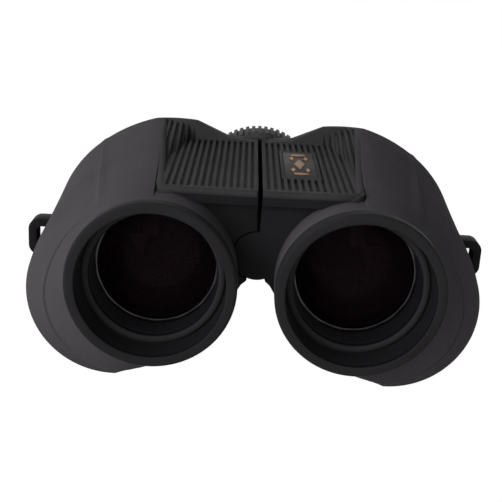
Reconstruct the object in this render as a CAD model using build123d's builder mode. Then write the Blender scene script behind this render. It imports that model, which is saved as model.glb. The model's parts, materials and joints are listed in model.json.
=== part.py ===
"""Compact 25 mm binoculars with reversed Porro prisms, in millimetres.

The objectives face -Y, +Z is up, and the origin lies on the floor under the middle of the body.
A station is a distance behind the front rims, along +Y. The user's left half is on +X.
"""

import os
from math import cos, pi, radians, sin

from build123d import *

# Optical layout
OBJECTIVE_SPACING = 42.4
PRISM_FACE = 12.0
PRISM_HEIGHT = 12.0
PRISM_CORNER = 0.8
PRISM_APEX_FLAT = 0.9
PRISM_MARGIN = 0.7

# Outer form of one half
BEZEL_R = 17.5
BEZEL_WIDTH = 2.25
BEZEL_DEPTH = 3.0
BEZEL_LIP = 1.0
BEZEL_ROUND = 0.8
BEZEL_BORE_ROUND = 0.4
ARMOUR_T = 1.2
WALL = 1.4
BULGE_R = 19.4
CREASE_STATION = 8.5
CREASE_SWELL = 0.42
DOME_END = 32.0
BODY_REAR = 73.0
DOME_STEPS = 3
RISE_STEPS = 4
SHOULDER_RISE = 22.7
SHOULDER_CREST = 4.8
SHOULDER_EDGE = 17.7
SHOULDER_EDGE_RISE = 16.5
FLANK_REACH = 26.4
FLANK_RISE = 6.9
TAIL_FALL = 4.6
TAIL_FLANK_FALL = 2.4
INNER_BOW = 0.5
INNER_BOW_RISE = 3.0
CREST_BOW = (0.0, 0.3)
SHOULDER_BOW = (0.3, 0.6)
EDGE_NORMAL = (0.70, 0.75)
FLANK_NORMAL = (0.88, 0.48)
RIM_ANGLES = (112, 93, 75, 59, 44, 19, -6, -39, -72, -106, -140, 166)
BULGE_ANGLES = (20, -38, -95, -130, -165)

# Roof plate, grip pad and badge
ROOF_RISE = 17.6
ROOF_T = 1.8
ROOF_FRONT = 8.0
ROOF_LIP = 1.5
ROOF_TUCK = 1.3
WEB_FOOT = ((4.3, -8.6), (3.0, -6.4), (2.0, -5.5))
RAMP_LENGTH = 3.3
RECESS_LEAN = 3.0
PAD_EDGE = 21.3
PAD_T = 1.2
PAD_CORNER_R = 2.5
PAD_BEVEL = 0.7
PAD_CLEAR = 0.1
RIB_PITCH = 1.45
RIB_GROOVE = 0.75
RIB_GROOVE_DEPTH = 0.6
RIB_MARGIN = 2.2
RIB_INNER_MARGIN = 1.5
RIDGE_FOOT = 8.1
RIDGE_FOOT_RISE = 0.6
RIDGE_TOP = 15.7
BADGE_WIDTH = 7.0
BADGE_LENGTH = 25.0
BADGE_T = 0.45
BADGE_FRONT = 21.0
BADGE_INNER = 5.4
BADGE_FRAME = 0.8
BADGE_CLEAR = 0.05

# Hinge
HINGE_RISE = 4.5
KNUCKLE_R = 5.2
KNUCKLE_CLEAR = 0.3
FRONT_KNUCKLE = 15.5
MIDDLE_KNUCKLE = 16.0
KNUCKLE_REAR_GAP = 0.5
WASHER_T = 0.5
WASHER_R = 4.4
WASHER_CLEAR = 0.05
GAP_AT_AXIS = 0.15
GAP_SLOPE = 0.026
SHAFT_R = 2.0
SHAFT_COVER = 2.5
FIT_CLEAR = 0.02
RUN_CLEAR = 0.07

# Focus wheel and bridge
WHEEL_R = 15.5
WHEEL_LENGTH = 11.0
WHEEL_SIDE_GAP = 0.5
WHEEL_REAR_ROOM = 1.2
WHEEL_POCKET_GAP = 0.6
WHEEL_EDGE = 1.2
WHEEL_RIDGES = 60
RIDGE_HEIGHT = 0.7
RIDGE_WIDTH = 0.85
GRIP_T = 1.8
SCREW_R = 3.4
NUT_R = 4.8
NUT_FLANGE_R = 6.4
NUT_FLANGE_T = 1.6
NUT_LEAD = 1.8
BRIDGE_GAP = 4.0
BRIDGE_T = 6.0
BRIDGE_EYE_R = 8.4
BRIDGE_TONGUE_T = 2.0
BRIDGE_SLIT = 0.1
ARM_HUB_WIDTH = 9.0
ARM_COLLAR_WIDTH = 16.0
ARM_ROUND = 0.8
CAP_ROOM = 2.6
CAP_WALL = 1.4
END_SCREW_R = 3.0
END_SCREW_T = 1.4
END_SCREW_SHANK_R = 1.0
END_SCREW_SHANK = 6.0
SHAFT_PAST_NUT = 1.2

# Objective cell and lenses
CELL_FRONT = 7.0
CELL_STEP = 0.25
CELL_WALL = 1.5
CELL_LIP = 1.1
CELL_LEDGE = 3.0
LOCK_RING_FRONT = 14.5
LOCK_RING_T = 1.5
LOCK_RING_LIP = 0.8
CROWN_EDGE_T = 3.5
FLINT_EDGE_T = 2.0
CROWN_FRONT_SAG = 1.9
CEMENT_SAG = 1.4
FLINT_REAR_SAG = 0.4
TUNNEL_LAP = 2.0
TUNNEL_REAR_R = 8.6

# Prism chamber
CHAMBER_TOP_RISE = 11.0
FRONT_PRISM_ROOM = 2.0
PRISM_POCKET_GAP = 0.3
LEDGE = 1.2
SHELF_T = 1.0
SHELF_WEB = 1.0
CLIP_T = 0.5
CLIP_WIDTH = 4.0
CLIP_FOOT = 2.0
CHAMBER_CLEAR = 0.1

# Rear cover
COVER_T = 2.0
COVER_EDGE = 0.8
GUIDE_DEPTH = 3.0
GUIDE_STAND = 2.0
GUIDE_WALL = 1.6
GUIDE_CLEAR = 0.05
BOSS_R = 2.15
BOSS_LENGTH = 11.0
BOSS_EDGE = 0.05
COVER_SCREW_R = 0.9
COVER_SCREW_HEAD_R = 1.7
COVER_SCREW_HEAD_T = 1.2
COVER_SCREW_LENGTH = 7.0
BOSS_ANGLES = (-48.0, -135.0)
TOP_SCREWS = ((-2.4, 14.0), (11.4, 12.3))

# Eyepiece
SLEEVE_R = 12.1
SLEEVE_WALL = 1.2
SLEEVE_INSET = 1.5
SLEEVE_FLANGE = 2.5
SLEEVE_FLANGE_T = 2.0
COLLAR_WIDTH = 3.1
RING_GAP = 0.3
RING_LENGTH = 6.0
RING_RIBS = 30
RING_RIB_WIDTH = 1.4
RING_RIB_HEIGHT = 0.5
DIOPTER_TRAVEL = 1.5
OCULAR_DEPTH = 11.0
OCULAR_WALL = 1.73
OCULAR_STOP = 0.6
HEAD_STEP = 1.17
HEAD_WALL = 3.4
HEAD_LENGTH = 7.5
HEAD_GAP = 0.2
FIELD_LENS_INSET = 3.5
FIELD_LENS_T = 5.0
FIELD_LENS_SAGS = (-1.2, -0.5)
EYE_LENS_T = 3.8
EYE_LENS_SAGS = (-0.9, 0.6)
EYE_RING_INSET = 0.2
OCULAR_RING_T = 1.0
OCULAR_RING_LIP = 1.2
EYECUP_WALL = 2.93
EYECUP_FRONT_GAP = 0.6
EYECUP_DEPTH = 1.8
EYECUP_LIP_T = 1.3
EYECUP_LIP_WIDTH = 4.6
EYECUP_ROUND = 1.6
EYECUP_LIP_ROUND = 0.8

# Strap lug
LUG_STATION = 38.0
LUG_T = 4.5
LUG_STAND = 1.2
LUG_WIDTH = 7.7
LUG_TOP_RISE = 1.5
LUG_DROP = 9.0
LUG_BAR = 1.9
LUG_SLOT = 3.0
LUG_SLOT_FLAT = 0.4
LUG_CORNER_R = 2.6
LUG_RELIEF = 3.0

# How far a cutting form runs past what it cuts
CUT_SPARE = 1.0

# Places across the body, worked out from the dimensions above
OBJECTIVE_X = OBJECTIVE_SPACING / 2
EYE_X = OBJECTIVE_X + PRISM_FACE
EYE_Z = BULGE_R
OBJECTIVE_Z = EYE_Z + PRISM_FACE
HINGE_Z = OBJECTIVE_Z + HINGE_RISE
ROOF_Z = OBJECTIVE_Z + ROOF_RISE
PAD_Z = ROOF_Z + PAD_T
SHOULDER_Z = OBJECTIVE_Z + SHOULDER_RISE
CHAMBER_TOP = OBJECTIVE_Z + CHAMBER_TOP_RISE
CHAMBER_INSET = ARMOUR_T + WALL
PRISM_INNER = OBJECTIVE_X - PRISM_FACE / 2 + PRISM_CORNER
PRISM_OUTER = EYE_X + PRISM_FACE / 2 - PRISM_CORNER
INNER_X = PRISM_INNER - PRISM_MARGIN - CHAMBER_INSET
ROOF_OUTER = PAD_EDGE - ROOF_TUCK
POCKET_R = WHEEL_R + WHEEL_POCKET_GAP
SHELF_HOLE_R = (PRISM_FACE - SHELF_WEB) / 2
BOSS_RING_R = BULGE_R - ARMOUR_T - BOSS_R - BOSS_EDGE
LUG_REACH = EYE_X + BULGE_R + LUG_STAND
LUG_MIDDLE_Z = OBJECTIVE_Z + LUG_TOP_RISE - LUG_DROP / 2

# Radii of the objective and the eyepiece
BEZEL_BORE_R = BEZEL_R - BEZEL_WIDTH
CELL_R = BEZEL_BORE_R - CELL_STEP
CELL_MOUTH_R = CELL_R - CELL_WALL
CELL_SEAT_R = CELL_MOUTH_R - CELL_LIP
LENS_R = CELL_MOUTH_R - FIT_CLEAR
LENS_CLEAR_R = CELL_MOUTH_R - LOCK_RING_LIP
GUIDE_R = SLEEVE_R + RUN_CLEAR
SLEEVE_FLANGE_R = SLEEVE_R + SLEEVE_FLANGE
COLLAR_R = SLEEVE_R + COLLAR_WIDTH
OCULAR_R = SLEEVE_R - SLEEVE_WALL - RUN_CLEAR
FIELD_LENS_R = OCULAR_R - OCULAR_WALL
HEAD_R = OCULAR_R + HEAD_STEP
EYE_LENS_R = HEAD_R - HEAD_WALL
OCULAR_STOP_R = EYE_LENS_R - OCULAR_STOP
EYECUP_R = HEAD_R + RUN_CLEAR + EYECUP_WALL
EYECUP_OPENING_R = EYECUP_R - EYECUP_LIP_WIDTH

# Stations along the body
LENS_FRONT = LOCK_RING_FRONT + LOCK_RING_T
LENS_CEMENT = LENS_FRONT + CROWN_EDGE_T
LENS_REAR = LENS_CEMENT + FLINT_EDGE_T
CELL_REAR = LENS_REAR + CELL_LEDGE
ROOF_REAR = BODY_REAR - WHEEL_REAR_ROOM - WHEEL_LENGTH - WHEEL_SIDE_GAP - RAMP_LENGTH
RAMP_REAR = ROOF_REAR + RAMP_LENGTH
WEB_FRONT = ROOF_FRONT + ROOF_LIP
SHAFT_FRONT = WEB_FRONT + SHAFT_COVER
FRONT_KNUCKLE_END = WEB_FRONT + FRONT_KNUCKLE
MIDDLE_KNUCKLE_END = FRONT_KNUCKLE_END + MIDDLE_KNUCKLE
REAR_KNUCKLE_END = ROOF_REAR - KNUCKLE_REAR_GAP
WHEEL_FRONT = RAMP_REAR + WHEEL_SIDE_GAP
WHEEL_REAR = WHEEL_FRONT + WHEEL_LENGTH
POCKET_WALL_FRONT = RAMP_REAR - WALL / 2
PRISM_STEP = POCKET_R + WALL + PRISM_POCKET_GAP - PRISM_INNER
SHELF_STATION = POCKET_WALL_FRONT - PRISM_STEP - PRISM_CORNER - SHELF_T
CHAMBER_FRONT = SHELF_STATION - PRISM_FACE - FRONT_PRISM_ROOM
TUNNEL_REAR = CHAMBER_FRONT + TUNNEL_LAP
COVER_REAR = BODY_REAR + COVER_T
BOSS_FRONT = BODY_REAR - BOSS_LENGTH
GUIDE_FRONT = BODY_REAR - GUIDE_DEPTH
GUIDE_REAR = COVER_REAR + GUIDE_STAND
SLEEVE_FRONT = GUIDE_FRONT + SLEEVE_INSET
BRIDGE_FRONT = COVER_REAR + BRIDGE_GAP
BRIDGE_REAR = BRIDGE_FRONT + BRIDGE_T
NUT_FRONT = BRIDGE_FRONT - NUT_LEAD
NUT_REAR = BRIDGE_REAR + NUT_FLANGE_T
SHAFT_REAR = NUT_REAR + SHAFT_PAST_NUT
CAP_REAR = SHAFT_REAR + END_SCREW_T + CAP_ROOM + CAP_WALL
FLANGE_REAR = BRIDGE_REAR + SLEEVE_FLANGE_T
OCULAR_FRONT = FLANGE_REAR - OCULAR_DEPTH
FIELD_LENS_FRONT = OCULAR_FRONT + FIELD_LENS_INSET
RING_FRONT = FLANGE_REAR + RING_GAP
RING_REAR = RING_FRONT + RING_LENGTH
HEAD_FRONT = RING_REAR + DIOPTER_TRAVEL + HEAD_GAP
HEAD_REAR = HEAD_FRONT + HEAD_LENGTH
EYE_RING_FRONT = HEAD_REAR - EYE_RING_INSET - OCULAR_RING_T
EYECUP_FRONT = HEAD_FRONT + EYECUP_FRONT_GAP
EYECUP_REAR = HEAD_REAR + EYECUP_DEPTH + EYECUP_LIP_T
Y_FRONT = -EYECUP_REAR / 2
SIDES = {"left": 1, "right": -1}


def cross(station):
    """Plane across the optical axes at a station, with X to the right and Z up."""
    return Plane.XZ.offset(-(Y_FRONT + station))


def along(x, z):
    """Plane through an axis parallel to Y, drawn as (station, radius)."""
    return Plane(origin=(x, Y_FRONT, z), x_dir=(0, 1, 0), z_dir=(1, 0, 0))


def turn(x, z, profile, mode=Mode.ADD):
    """Turn a (station, radius) profile about the axis through (x, z)."""
    with BuildSketch(along(x, z)) as half_section:
        with BuildLine():
            Polyline(*profile, close=True)
        make_face()
    revolve(half_section.sketch, axis=Axis((x, Y_FRONT, z), (0, 1, 0)), mode=mode)


def tube(x, z, start, end, outer, inner=0.0, mode=Mode.ADD):
    """Round bar or tube between two stations."""
    turn(x, z, [(start, inner), (start, outer), (end, outer), (end, inner)], mode)


def prism(points, start, end, mode=Mode.ADD):
    """Polygon in (X, Z) carried from one station to another."""
    with BuildSketch(cross(start)) as outline:
        with BuildLine():
            Polyline(*points, close=True)
        make_face()
    extrude(outline.sketch, amount=start - end, mode=mode)


def mirrored(side, points):
    return [(side * x, z) for x, z in points]


def polar(x, z, radius, angle):
    return x + radius * cos(radians(angle)), z + radius * sin(radians(angle))


def midway(a, b, push=(0.0, 0.0)):
    return (a[0] + b[0]) / 2 + push[0], (a[1] + b[1]) / 2 + push[1]


def share(station, start, end):
    return min(max((station - start) / (end - start), 0.0), 1.0)


def swell_at(station):
    """How far the prism bulge has grown out of the round barrel, from 0 to 1."""
    if station <= CREASE_STATION:
        return CREASE_SWELL * share(station, BEZEL_DEPTH, CREASE_STATION)
    return CREASE_SWELL + (1 - CREASE_SWELL) * sin(pi / 2 * share(station, CREASE_STATION, DOME_END))


def body_outline(side, station, inset=0.0):
    """Section of one half: six arcs that grow from the round rim to the full prism housing."""
    ramp = share(station, BEZEL_DEPTH, RAMP_REAR)
    swell = swell_at(station)
    waist = share(station, DOME_END, RAMP_REAR)
    waist = waist * waist * (3 - 2 * waist)
    tail = share(station, RAMP_REAR, COVER_REAR)
    shoulder_rise = SHOULDER_RISE - TAIL_FALL * tail

    def inward(point, normal):
        return OBJECTIVE_X + point[0] - inset * normal[0], OBJECTIVE_Z + point[1] - inset * normal[1]

    inner_top = (RIDGE_TOP + inset, OBJECTIVE_Z + shoulder_rise - inset)
    crest = inward((SHOULDER_CREST, shoulder_rise), (0, 1))
    edge = inward((SHOULDER_EDGE, SHOULDER_EDGE_RISE - TAIL_FALL * tail), EDGE_NORMAL)
    flank = inward((FLANK_REACH, FLANK_RISE - TAIL_FLANK_FALL * tail), FLANK_NORMAL)
    bulge = [polar(EYE_X, EYE_Z, BULGE_R - inset, angle) for angle in BULGE_ANGLES]
    full_knots = [
        (inner_top, ramp),
        (midway(inner_top, crest, CREST_BOW), ramp),
        (crest, ramp),
        (midway(crest, edge, SHOULDER_BOW), ramp),
        (edge, ramp),
        (flank, (ramp + swell) / 2),
        (bulge[0], swell),
        (bulge[1], swell),
        (bulge[2], swell),
        (bulge[3], (swell + waist) / 2),
        (bulge[4], waist),
        ((INNER_X + inset - INNER_BOW, OBJECTIVE_Z + INNER_BOW_RISE), waist),
    ]
    knots = []
    for angle, (full, weight) in zip(RIM_ANGLES, full_knots):
        x, z = polar(OBJECTIVE_X, OBJECTIVE_Z, BEZEL_R - inset, angle)
        knots.append((side * (x + (full[0] - x) * weight), z + (full[1] - z) * weight))
    with BuildSketch(cross(station)) as outline:
        with BuildLine():
            for start in range(0, len(knots), 2):
                ThreePointArc(knots[start], knots[start + 1], knots[(start + 2) % len(knots)])
        make_face()
    return outline.sketch


def steps(start, end, count):
    return [start + (end - start) * i / count for i in range(count + 1)]


def body_form(side, inset):
    """Whole outer form of one half, drawn in by an inset: flared band, dome, rising body, falling tail."""
    with BuildPart() as form:
        loft([body_outline(side, s, inset) for s in (BEZEL_DEPTH, CREASE_STATION)], ruled=True)
        loft([body_outline(side, s, inset) for s in steps(CREASE_STATION, DOME_END, DOME_STEPS)])
        loft([body_outline(side, s, inset) for s in steps(DOME_END, RAMP_REAR, RISE_STEPS)])
        loft([body_outline(side, s, inset) for s in (RAMP_REAR, BODY_REAR)], ruled=True)
    return form.part


def chamber_form(side, inset, *stations):
    """Prism chamber through a few stations, below the roof and clear of the wheel pocket."""
    with BuildPart() as form:
        loft([body_outline(side, s, inset) for s in stations], ruled=True)
        split(bisect_by=Plane.XY.offset(CHAMBER_TOP), keep=Keep.BOTTOM)
        tube(0, HINGE_Z, POCKET_WALL_FRONT, BODY_REAR, POCKET_R + WALL, mode=Mode.SUBTRACT)
    return form.part


def roof_recess(side):
    """Space above the roof plate that holds the grip pad, with a leaning outer wall and rear ramp."""
    rise = SHOULDER_Z - ROOF_Z + CUT_SPARE
    with BuildPart() as recess:
        top_ramp = RAMP_LENGTH * rise / (rise - CUT_SPARE)
        for height, lean, ramp in ((0, 0, 0), (rise, RECESS_LEAN, top_ramp)):
            with BuildSketch(Plane.XY.offset(ROOF_Z + height)):
                with Locations((side * (PAD_EDGE + lean) / 2, Y_FRONT + (ROOF_REAR + ramp) / 2)):
                    Rectangle(PAD_EDGE + lean, ROOF_REAR + ramp)
        loft(ruled=True)
    return recess.part


def gap_x(z):
    """Half width of the wedge gap between the halves at a height above the hinge axis."""
    return GAP_AT_AXIS + GAP_SLOPE * (z - HINGE_Z)


def ridge_line():
    """Top edge of the rear wall, from the wheel notch up to the shoulder."""
    return [(gap_x(PAD_Z), PAD_Z), (RIDGE_FOOT, PAD_Z + RIDGE_FOOT_RISE), (RIDGE_TOP, SHOULDER_Z)]


def web_points(top):
    """Web between hinge and barrel, from a list of points along its top edge to a foot on the barrel."""
    foot = [(x, HINGE_Z + rise) for x, rise in WEB_FOOT]
    return [(GAP_AT_AXIS, HINGE_Z)] + top + [(ROOF_OUTER, foot[0][1])] + foot


def lug_root(side, mode=Mode.ADD):
    """Block of the strap lug, from inside the wall to the outer bar."""
    with BuildSketch(cross(LUG_STATION)) as outline:
        with Locations((side * (LUG_REACH - LUG_WIDTH / 2), LUG_MIDDLE_Z)):
            RectangleRounded(LUG_WIDTH, LUG_DROP, LUG_CORNER_R)
    extrude(outline.sketch, amount=-LUG_T, mode=mode)


def strap_slot(side, spare=0.0):
    """Take away the strap's way through the lug, and past both its ends by a spare length."""
    with BuildSketch(cross(LUG_STATION - spare)) as slot:
        with Locations((side * (LUG_REACH - LUG_BAR - LUG_SLOT / 2), LUG_MIDDLE_Z)):
            RectangleRounded(LUG_SLOT, LUG_DROP - 2 * LUG_BAR, (LUG_SLOT - LUG_SLOT_FLAT) / 2)
    extrude(slot.sketch, amount=-(LUG_T + 2 * spare), mode=Mode.SUBTRACT)


def knuckles(name):
    """Stations of the knuckles that a half carries: the left has the ends, the right the middle."""
    gap = WASHER_T + 2 * WASHER_CLEAR
    spans = [
        (WEB_FRONT, FRONT_KNUCKLE_END),
        (FRONT_KNUCKLE_END + gap, MIDDLE_KNUCKLE_END),
        (MIDDLE_KNUCKLE_END + gap, REAR_KNUCKLE_END),
    ]
    return spans[0::2] if name == "left" else spans[1::2]


def make_housing(name, side, inner_form):
    other = "right" if name == "left" else "left"
    with BuildPart() as housing:
        add(inner_form)
        tube(side * OBJECTIVE_X, OBJECTIVE_Z, BEZEL_LIP, BEZEL_DEPTH, BEZEL_R - ARMOUR_T)
        prism(
            mirrored(side, web_points([(gap_x(ROOF_Z), ROOF_Z), (ROOF_OUTER, ROOF_Z)])),
            WEB_FRONT,
            ROOF_REAR,
        )
        roof_foot = ROOF_Z - ROOF_T
        prism(
            mirrored(
                side,
                [
                    (gap_x(roof_foot), roof_foot),
                    (gap_x(ROOF_Z), ROOF_Z),
                    (ROOF_OUTER, ROOF_Z),
                    (ROOF_OUTER, roof_foot),
                ],
            ),
            ROOF_FRONT,
            WEB_FRONT,
        )
        prism(mirrored(side, web_points(ridge_line())), ROOF_REAR, RAMP_REAR)
        add(roof_recess(side), mode=Mode.SUBTRACT)
        for start, end in knuckles(other):
            room = WASHER_T + 2 * WASHER_CLEAR
            tube(0, HINGE_Z, start - room, end + room, KNUCKLE_R + KNUCKLE_CLEAR, mode=Mode.SUBTRACT)
        for start, end in knuckles(name):
            tube(0, HINGE_Z, start, end, KNUCKLE_R)
        bore = SHAFT_R + (FIT_CLEAR if name == "left" else RUN_CLEAR)
        tube(0, HINGE_Z, SHAFT_FRONT, BODY_REAR, bore, mode=Mode.SUBTRACT)
        tube(0, HINGE_Z, RAMP_REAR, BODY_REAR, POCKET_R, mode=Mode.SUBTRACT)
        axis = (side * OBJECTIVE_X, OBJECTIVE_Z)
        tube(*axis, 0, CELL_FRONT, BEZEL_BORE_R, mode=Mode.SUBTRACT)
        tube(*axis, CELL_FRONT, CELL_REAR, CELL_R + FIT_CLEAR, mode=Mode.SUBTRACT)
        turn(
            *axis,
            [(CELL_REAR, 0), (CELL_REAR, CELL_SEAT_R), (TUNNEL_REAR, TUNNEL_REAR_R), (TUNNEL_REAR, 0)],
            Mode.SUBTRACT,
        )
        add(chamber_form(side, CHAMBER_INSET + LEDGE, CHAMBER_FRONT, SHELF_STATION), mode=Mode.SUBTRACT)
        add(chamber_form(side, CHAMBER_INSET, SHELF_STATION, RAMP_REAR, BODY_REAR), mode=Mode.SUBTRACT)
        for angle in BOSS_ANGLES:
            x, z = polar(EYE_X, EYE_Z, BOSS_RING_R, angle)
            tube(side * x, z, BOSS_FRONT, BODY_REAR, BOSS_R)
        room_front = GUIDE_FRONT - GUIDE_CLEAR
        room_r = GUIDE_R + GUIDE_WALL + GUIDE_CLEAR
        tube(side * EYE_X, EYE_Z, room_front, BODY_REAR, room_r, mode=Mode.SUBTRACT)
        for x, z in screw_places():
            hole = COVER_SCREW_R + FIT_CLEAR
            start = COVER_REAR - COVER_SCREW_HEAD_T - COVER_SCREW_LENGTH
            tube(side * x, z, start, BODY_REAR, hole, mode=Mode.SUBTRACT)
    return housing.part


def screw_places():
    """Centres of the rear cover's screws on the +X half."""
    ring = [polar(EYE_X, EYE_Z, BOSS_RING_R, angle) for angle in BOSS_ANGLES]
    return ring + [(OBJECTIVE_X + x, OBJECTIVE_Z + rise) for x, rise in TOP_SCREWS]


def make_armour(side, outer_form, inner_form):
    with BuildPart() as armour:
        add(outer_form)
        add(inner_form, mode=Mode.SUBTRACT)
        web = web_points([(gap_x(ROOF_Z), ROOF_Z), (ROOF_OUTER, ROOF_Z)])
        prism(mirrored(side, web), WEB_FRONT, ROOF_REAR, Mode.SUBTRACT)
        prism(mirrored(side, web_points(ridge_line())), ROOF_REAR, RAMP_REAR, Mode.SUBTRACT)
        with BuildSketch(cross(ROOF_FRONT)) as lip:
            with Locations((side * ROOF_OUTER / 2, ROOF_Z - ROOF_T / 2)):
                Rectangle(ROOF_OUTER, ROOF_T)
        extrude(lip.sketch, amount=ROOF_FRONT - WEB_FRONT, mode=Mode.SUBTRACT)
        add(roof_recess(side), mode=Mode.SUBTRACT)
        hinge_front = WEB_FRONT - KNUCKLE_CLEAR
        tube(0, HINGE_Z, hinge_front, RAMP_REAR, KNUCKLE_R + KNUCKLE_CLEAR, mode=Mode.SUBTRACT)
        tube(0, HINGE_Z, RAMP_REAR, BODY_REAR, POCKET_R, mode=Mode.SUBTRACT)
        lug_root(side, Mode.SUBTRACT)
        strap_slot(side, LUG_RELIEF)
    return armour.part


def make_lug(side, inner_form):
    with BuildPart() as lug:
        lug_root(side)
        strap_slot(side)
        add(inner_form, mode=Mode.SUBTRACT)
    return lug.part


def make_pad(name, side):
    """Ribbed pad: a plate on the roof that bends up the ramp to the shoulder."""
    ramp_run = RAMP_LENGTH / (SHOULDER_Z - ROOF_Z)
    top = SHOULDER_Z - PAD_CLEAR
    rise = top - ROOF_Z
    bend = ROOF_REAR - PAD_T
    inner = gap_x(ROOF_Z)
    with BuildPart() as pad:
        with BuildSketch(along(side * inner, ROOF_Z)) as profile:
            with BuildLine():
                Polyline(
                    (ROOF_FRONT, 0),
                    (ROOF_REAR, 0),
                    (ROOF_REAR + ramp_run * rise, rise),
                    (ROOF_REAR + ramp_run * rise - PAD_T, rise),
                    (bend, PAD_T),
                    (ROOF_FRONT + PAD_BEVEL, PAD_T),
                    (ROOF_FRONT, PAD_T - PAD_BEVEL),
                    close=True,
                )
            make_face()
        extrude(profile.sketch, amount=side * (PAD_EDGE - PAD_CLEAR - inner))
        corner = pad.edges().filter_by(Axis.Z).sort_by(Axis.Y)[:2].sort_by(Axis.X)
        fillet(corner[-1] if side > 0 else corner[0], PAD_CORNER_R)
        edge = PAD_EDGE + CUT_SPARE
        above = SHOULDER_Z + CUT_SPARE
        crop = ridge_line() + [(edge, SHOULDER_Z), (edge, above), (inner, above)]
        prism(mirrored(side, crop), bend - CUT_SPARE, RAMP_REAR + CUT_SPARE, Mode.SUBTRACT)
        first = PAD_EDGE - RIB_MARGIN
        rib_count = 1 + int((first - RIB_INNER_MARGIN) / RIB_PITCH)
        places = [first - RIB_PITCH * i for i in range(rib_count)]
        with BuildSketch(cross(ROOF_FRONT + RIB_MARGIN)) as grooves:
            with Locations(*[(side * x, PAD_Z) for x in places]):
                Rectangle(RIB_GROOVE, 2 * RIB_GROOVE_DEPTH)
        extrude(grooves.sketch, amount=ROOF_FRONT + RIB_MARGIN - bend, mode=Mode.SUBTRACT)
        climbing = [x for x in places if x > RIDGE_TOP]
        with BuildSketch(cross(bend)) as ramp_grooves:
            with Locations(*[(side * x, PAD_Z) for x in climbing]):
                Rectangle(RIB_GROOVE, 2 * RIB_GROOVE_DEPTH / ramp_run)
        extrude(ramp_grooves.sketch, amount=2 * rise, dir=(0, ramp_run, 1), mode=Mode.SUBTRACT)
        if name == "left":
            middle = (
                side * (BADGE_INNER + BADGE_WIDTH / 2),
                Y_FRONT + BADGE_FRONT + BADGE_LENGTH / 2,
            )
            with BuildSketch(Plane.XY.offset(ROOF_Z)) as frame:
                with Locations(middle):
                    Rectangle(BADGE_WIDTH + 2 * BADGE_FRAME, BADGE_LENGTH + 2 * BADGE_FRAME)
            extrude(frame.sketch, amount=PAD_T)
            with BuildSketch(Plane.XY.offset(PAD_Z)) as pocket:
                with Locations(middle):
                    Rectangle(BADGE_WIDTH + 2 * BADGE_CLEAR, BADGE_LENGTH + 2 * BADGE_CLEAR)
            extrude(pocket.sketch, amount=-BADGE_T - BADGE_CLEAR, mode=Mode.SUBTRACT)
    return pad.part


def make_badge(side):
    with BuildPart() as badge:
        with BuildSketch(Plane.XY.offset(PAD_Z - BADGE_CLEAR - BADGE_T)):
            with Locations(
                (side * (BADGE_INNER + BADGE_WIDTH / 2), Y_FRONT + BADGE_FRONT + BADGE_LENGTH / 2)
            ):
                Rectangle(BADGE_WIDTH, BADGE_LENGTH)
        extrude(amount=BADGE_T)
    return badge.part


def make_bezel(side):
    outer = BEZEL_R - ARMOUR_T + FIT_CLEAR
    with BuildPart() as bezel:
        turn(
            side * OBJECTIVE_X,
            OBJECTIVE_Z,
            [
                (0, BEZEL_BORE_R),
                (0, BEZEL_R),
                (BEZEL_DEPTH, BEZEL_R),
                (BEZEL_DEPTH, outer),
                (BEZEL_LIP, outer),
                (BEZEL_LIP, BEZEL_BORE_R),
            ],
        )
        front = bezel.edges().group_by(Axis.Y)[0].sort_by(SortBy.RADIUS)
        fillet(front[-1], BEZEL_ROUND)
        fillet(front[0], BEZEL_BORE_ROUND)
    return bezel.part


def make_cell(side):
    with BuildPart() as cell:
        turn(
            side * OBJECTIVE_X,
            OBJECTIVE_Z,
            [
                (CELL_FRONT, CELL_MOUTH_R),
                (CELL_FRONT, CELL_R),
                (CELL_REAR - FIT_CLEAR, CELL_R),
                (CELL_REAR - FIT_CLEAR, CELL_SEAT_R),
                (LENS_REAR, CELL_SEAT_R),
                (LENS_REAR, CELL_MOUTH_R),
            ],
        )
    return cell.part


def make_ring(x, z, start, length, outer, inner):
    with BuildPart() as ring:
        tube(x, z, start, start + length, outer, inner)
    return ring.part


def make_lens(x, z, front, rear, radius, clear, front_sag, rear_sag):
    """Lens between two edge stations, bowed inside its clear radius; a positive sag bows to the rear."""
    with BuildPart() as lens:
        with BuildSketch(along(x, z)) as half_section:
            with BuildLine():
                front_face = bowed(front, clear, front_sag)
                rear_face = bowed(rear, clear, rear_sag)
                Polyline(front_face @ 1, (front, radius), (rear, radius), rear_face @ 1)
                Line(front_face @ 0, rear_face @ 0)
            make_face()
        revolve(half_section.sketch, axis=Axis((x, Y_FRONT, z), (0, 1, 0)))
    return lens.part


def bowed(edge, radius, sag):
    """Half of a lens face, from its vertex on the axis out to its edge."""
    sphere = (radius**2 + sag**2) / (2 * abs(sag))
    half_angle = 0.5 * (radius / sphere)
    toward = 1 if sag > 0 else -1
    middle = (edge + sag - toward * sphere * (1 - cos(half_angle)), sphere * sin(half_angle))
    return ThreePointArc((edge + sag, 0), middle, (edge, radius))


def make_rear_prism(side):
    middle = (PRISM_INNER + PRISM_OUTER) / 2
    base = SHELF_STATION + SHELF_T
    apex = base + PRISM_FACE
    points = [
        (PRISM_INNER, base),
        (PRISM_INNER, base + PRISM_CORNER),
        (middle - PRISM_APEX_FLAT, apex - PRISM_APEX_FLAT),
        (middle + PRISM_APEX_FLAT, apex - PRISM_APEX_FLAT),
        (PRISM_OUTER, base + PRISM_CORNER),
        (PRISM_OUTER, base),
    ]
    with BuildPart() as glass:
        with BuildSketch(Plane.XY.offset(OBJECTIVE_Z - PRISM_HEIGHT / 2)):
            with BuildLine():
                Polyline(*[(side * x, Y_FRONT + station) for x, station in points], close=True)
            make_face()
        extrude(amount=PRISM_HEIGHT)
    return glass.part


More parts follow.
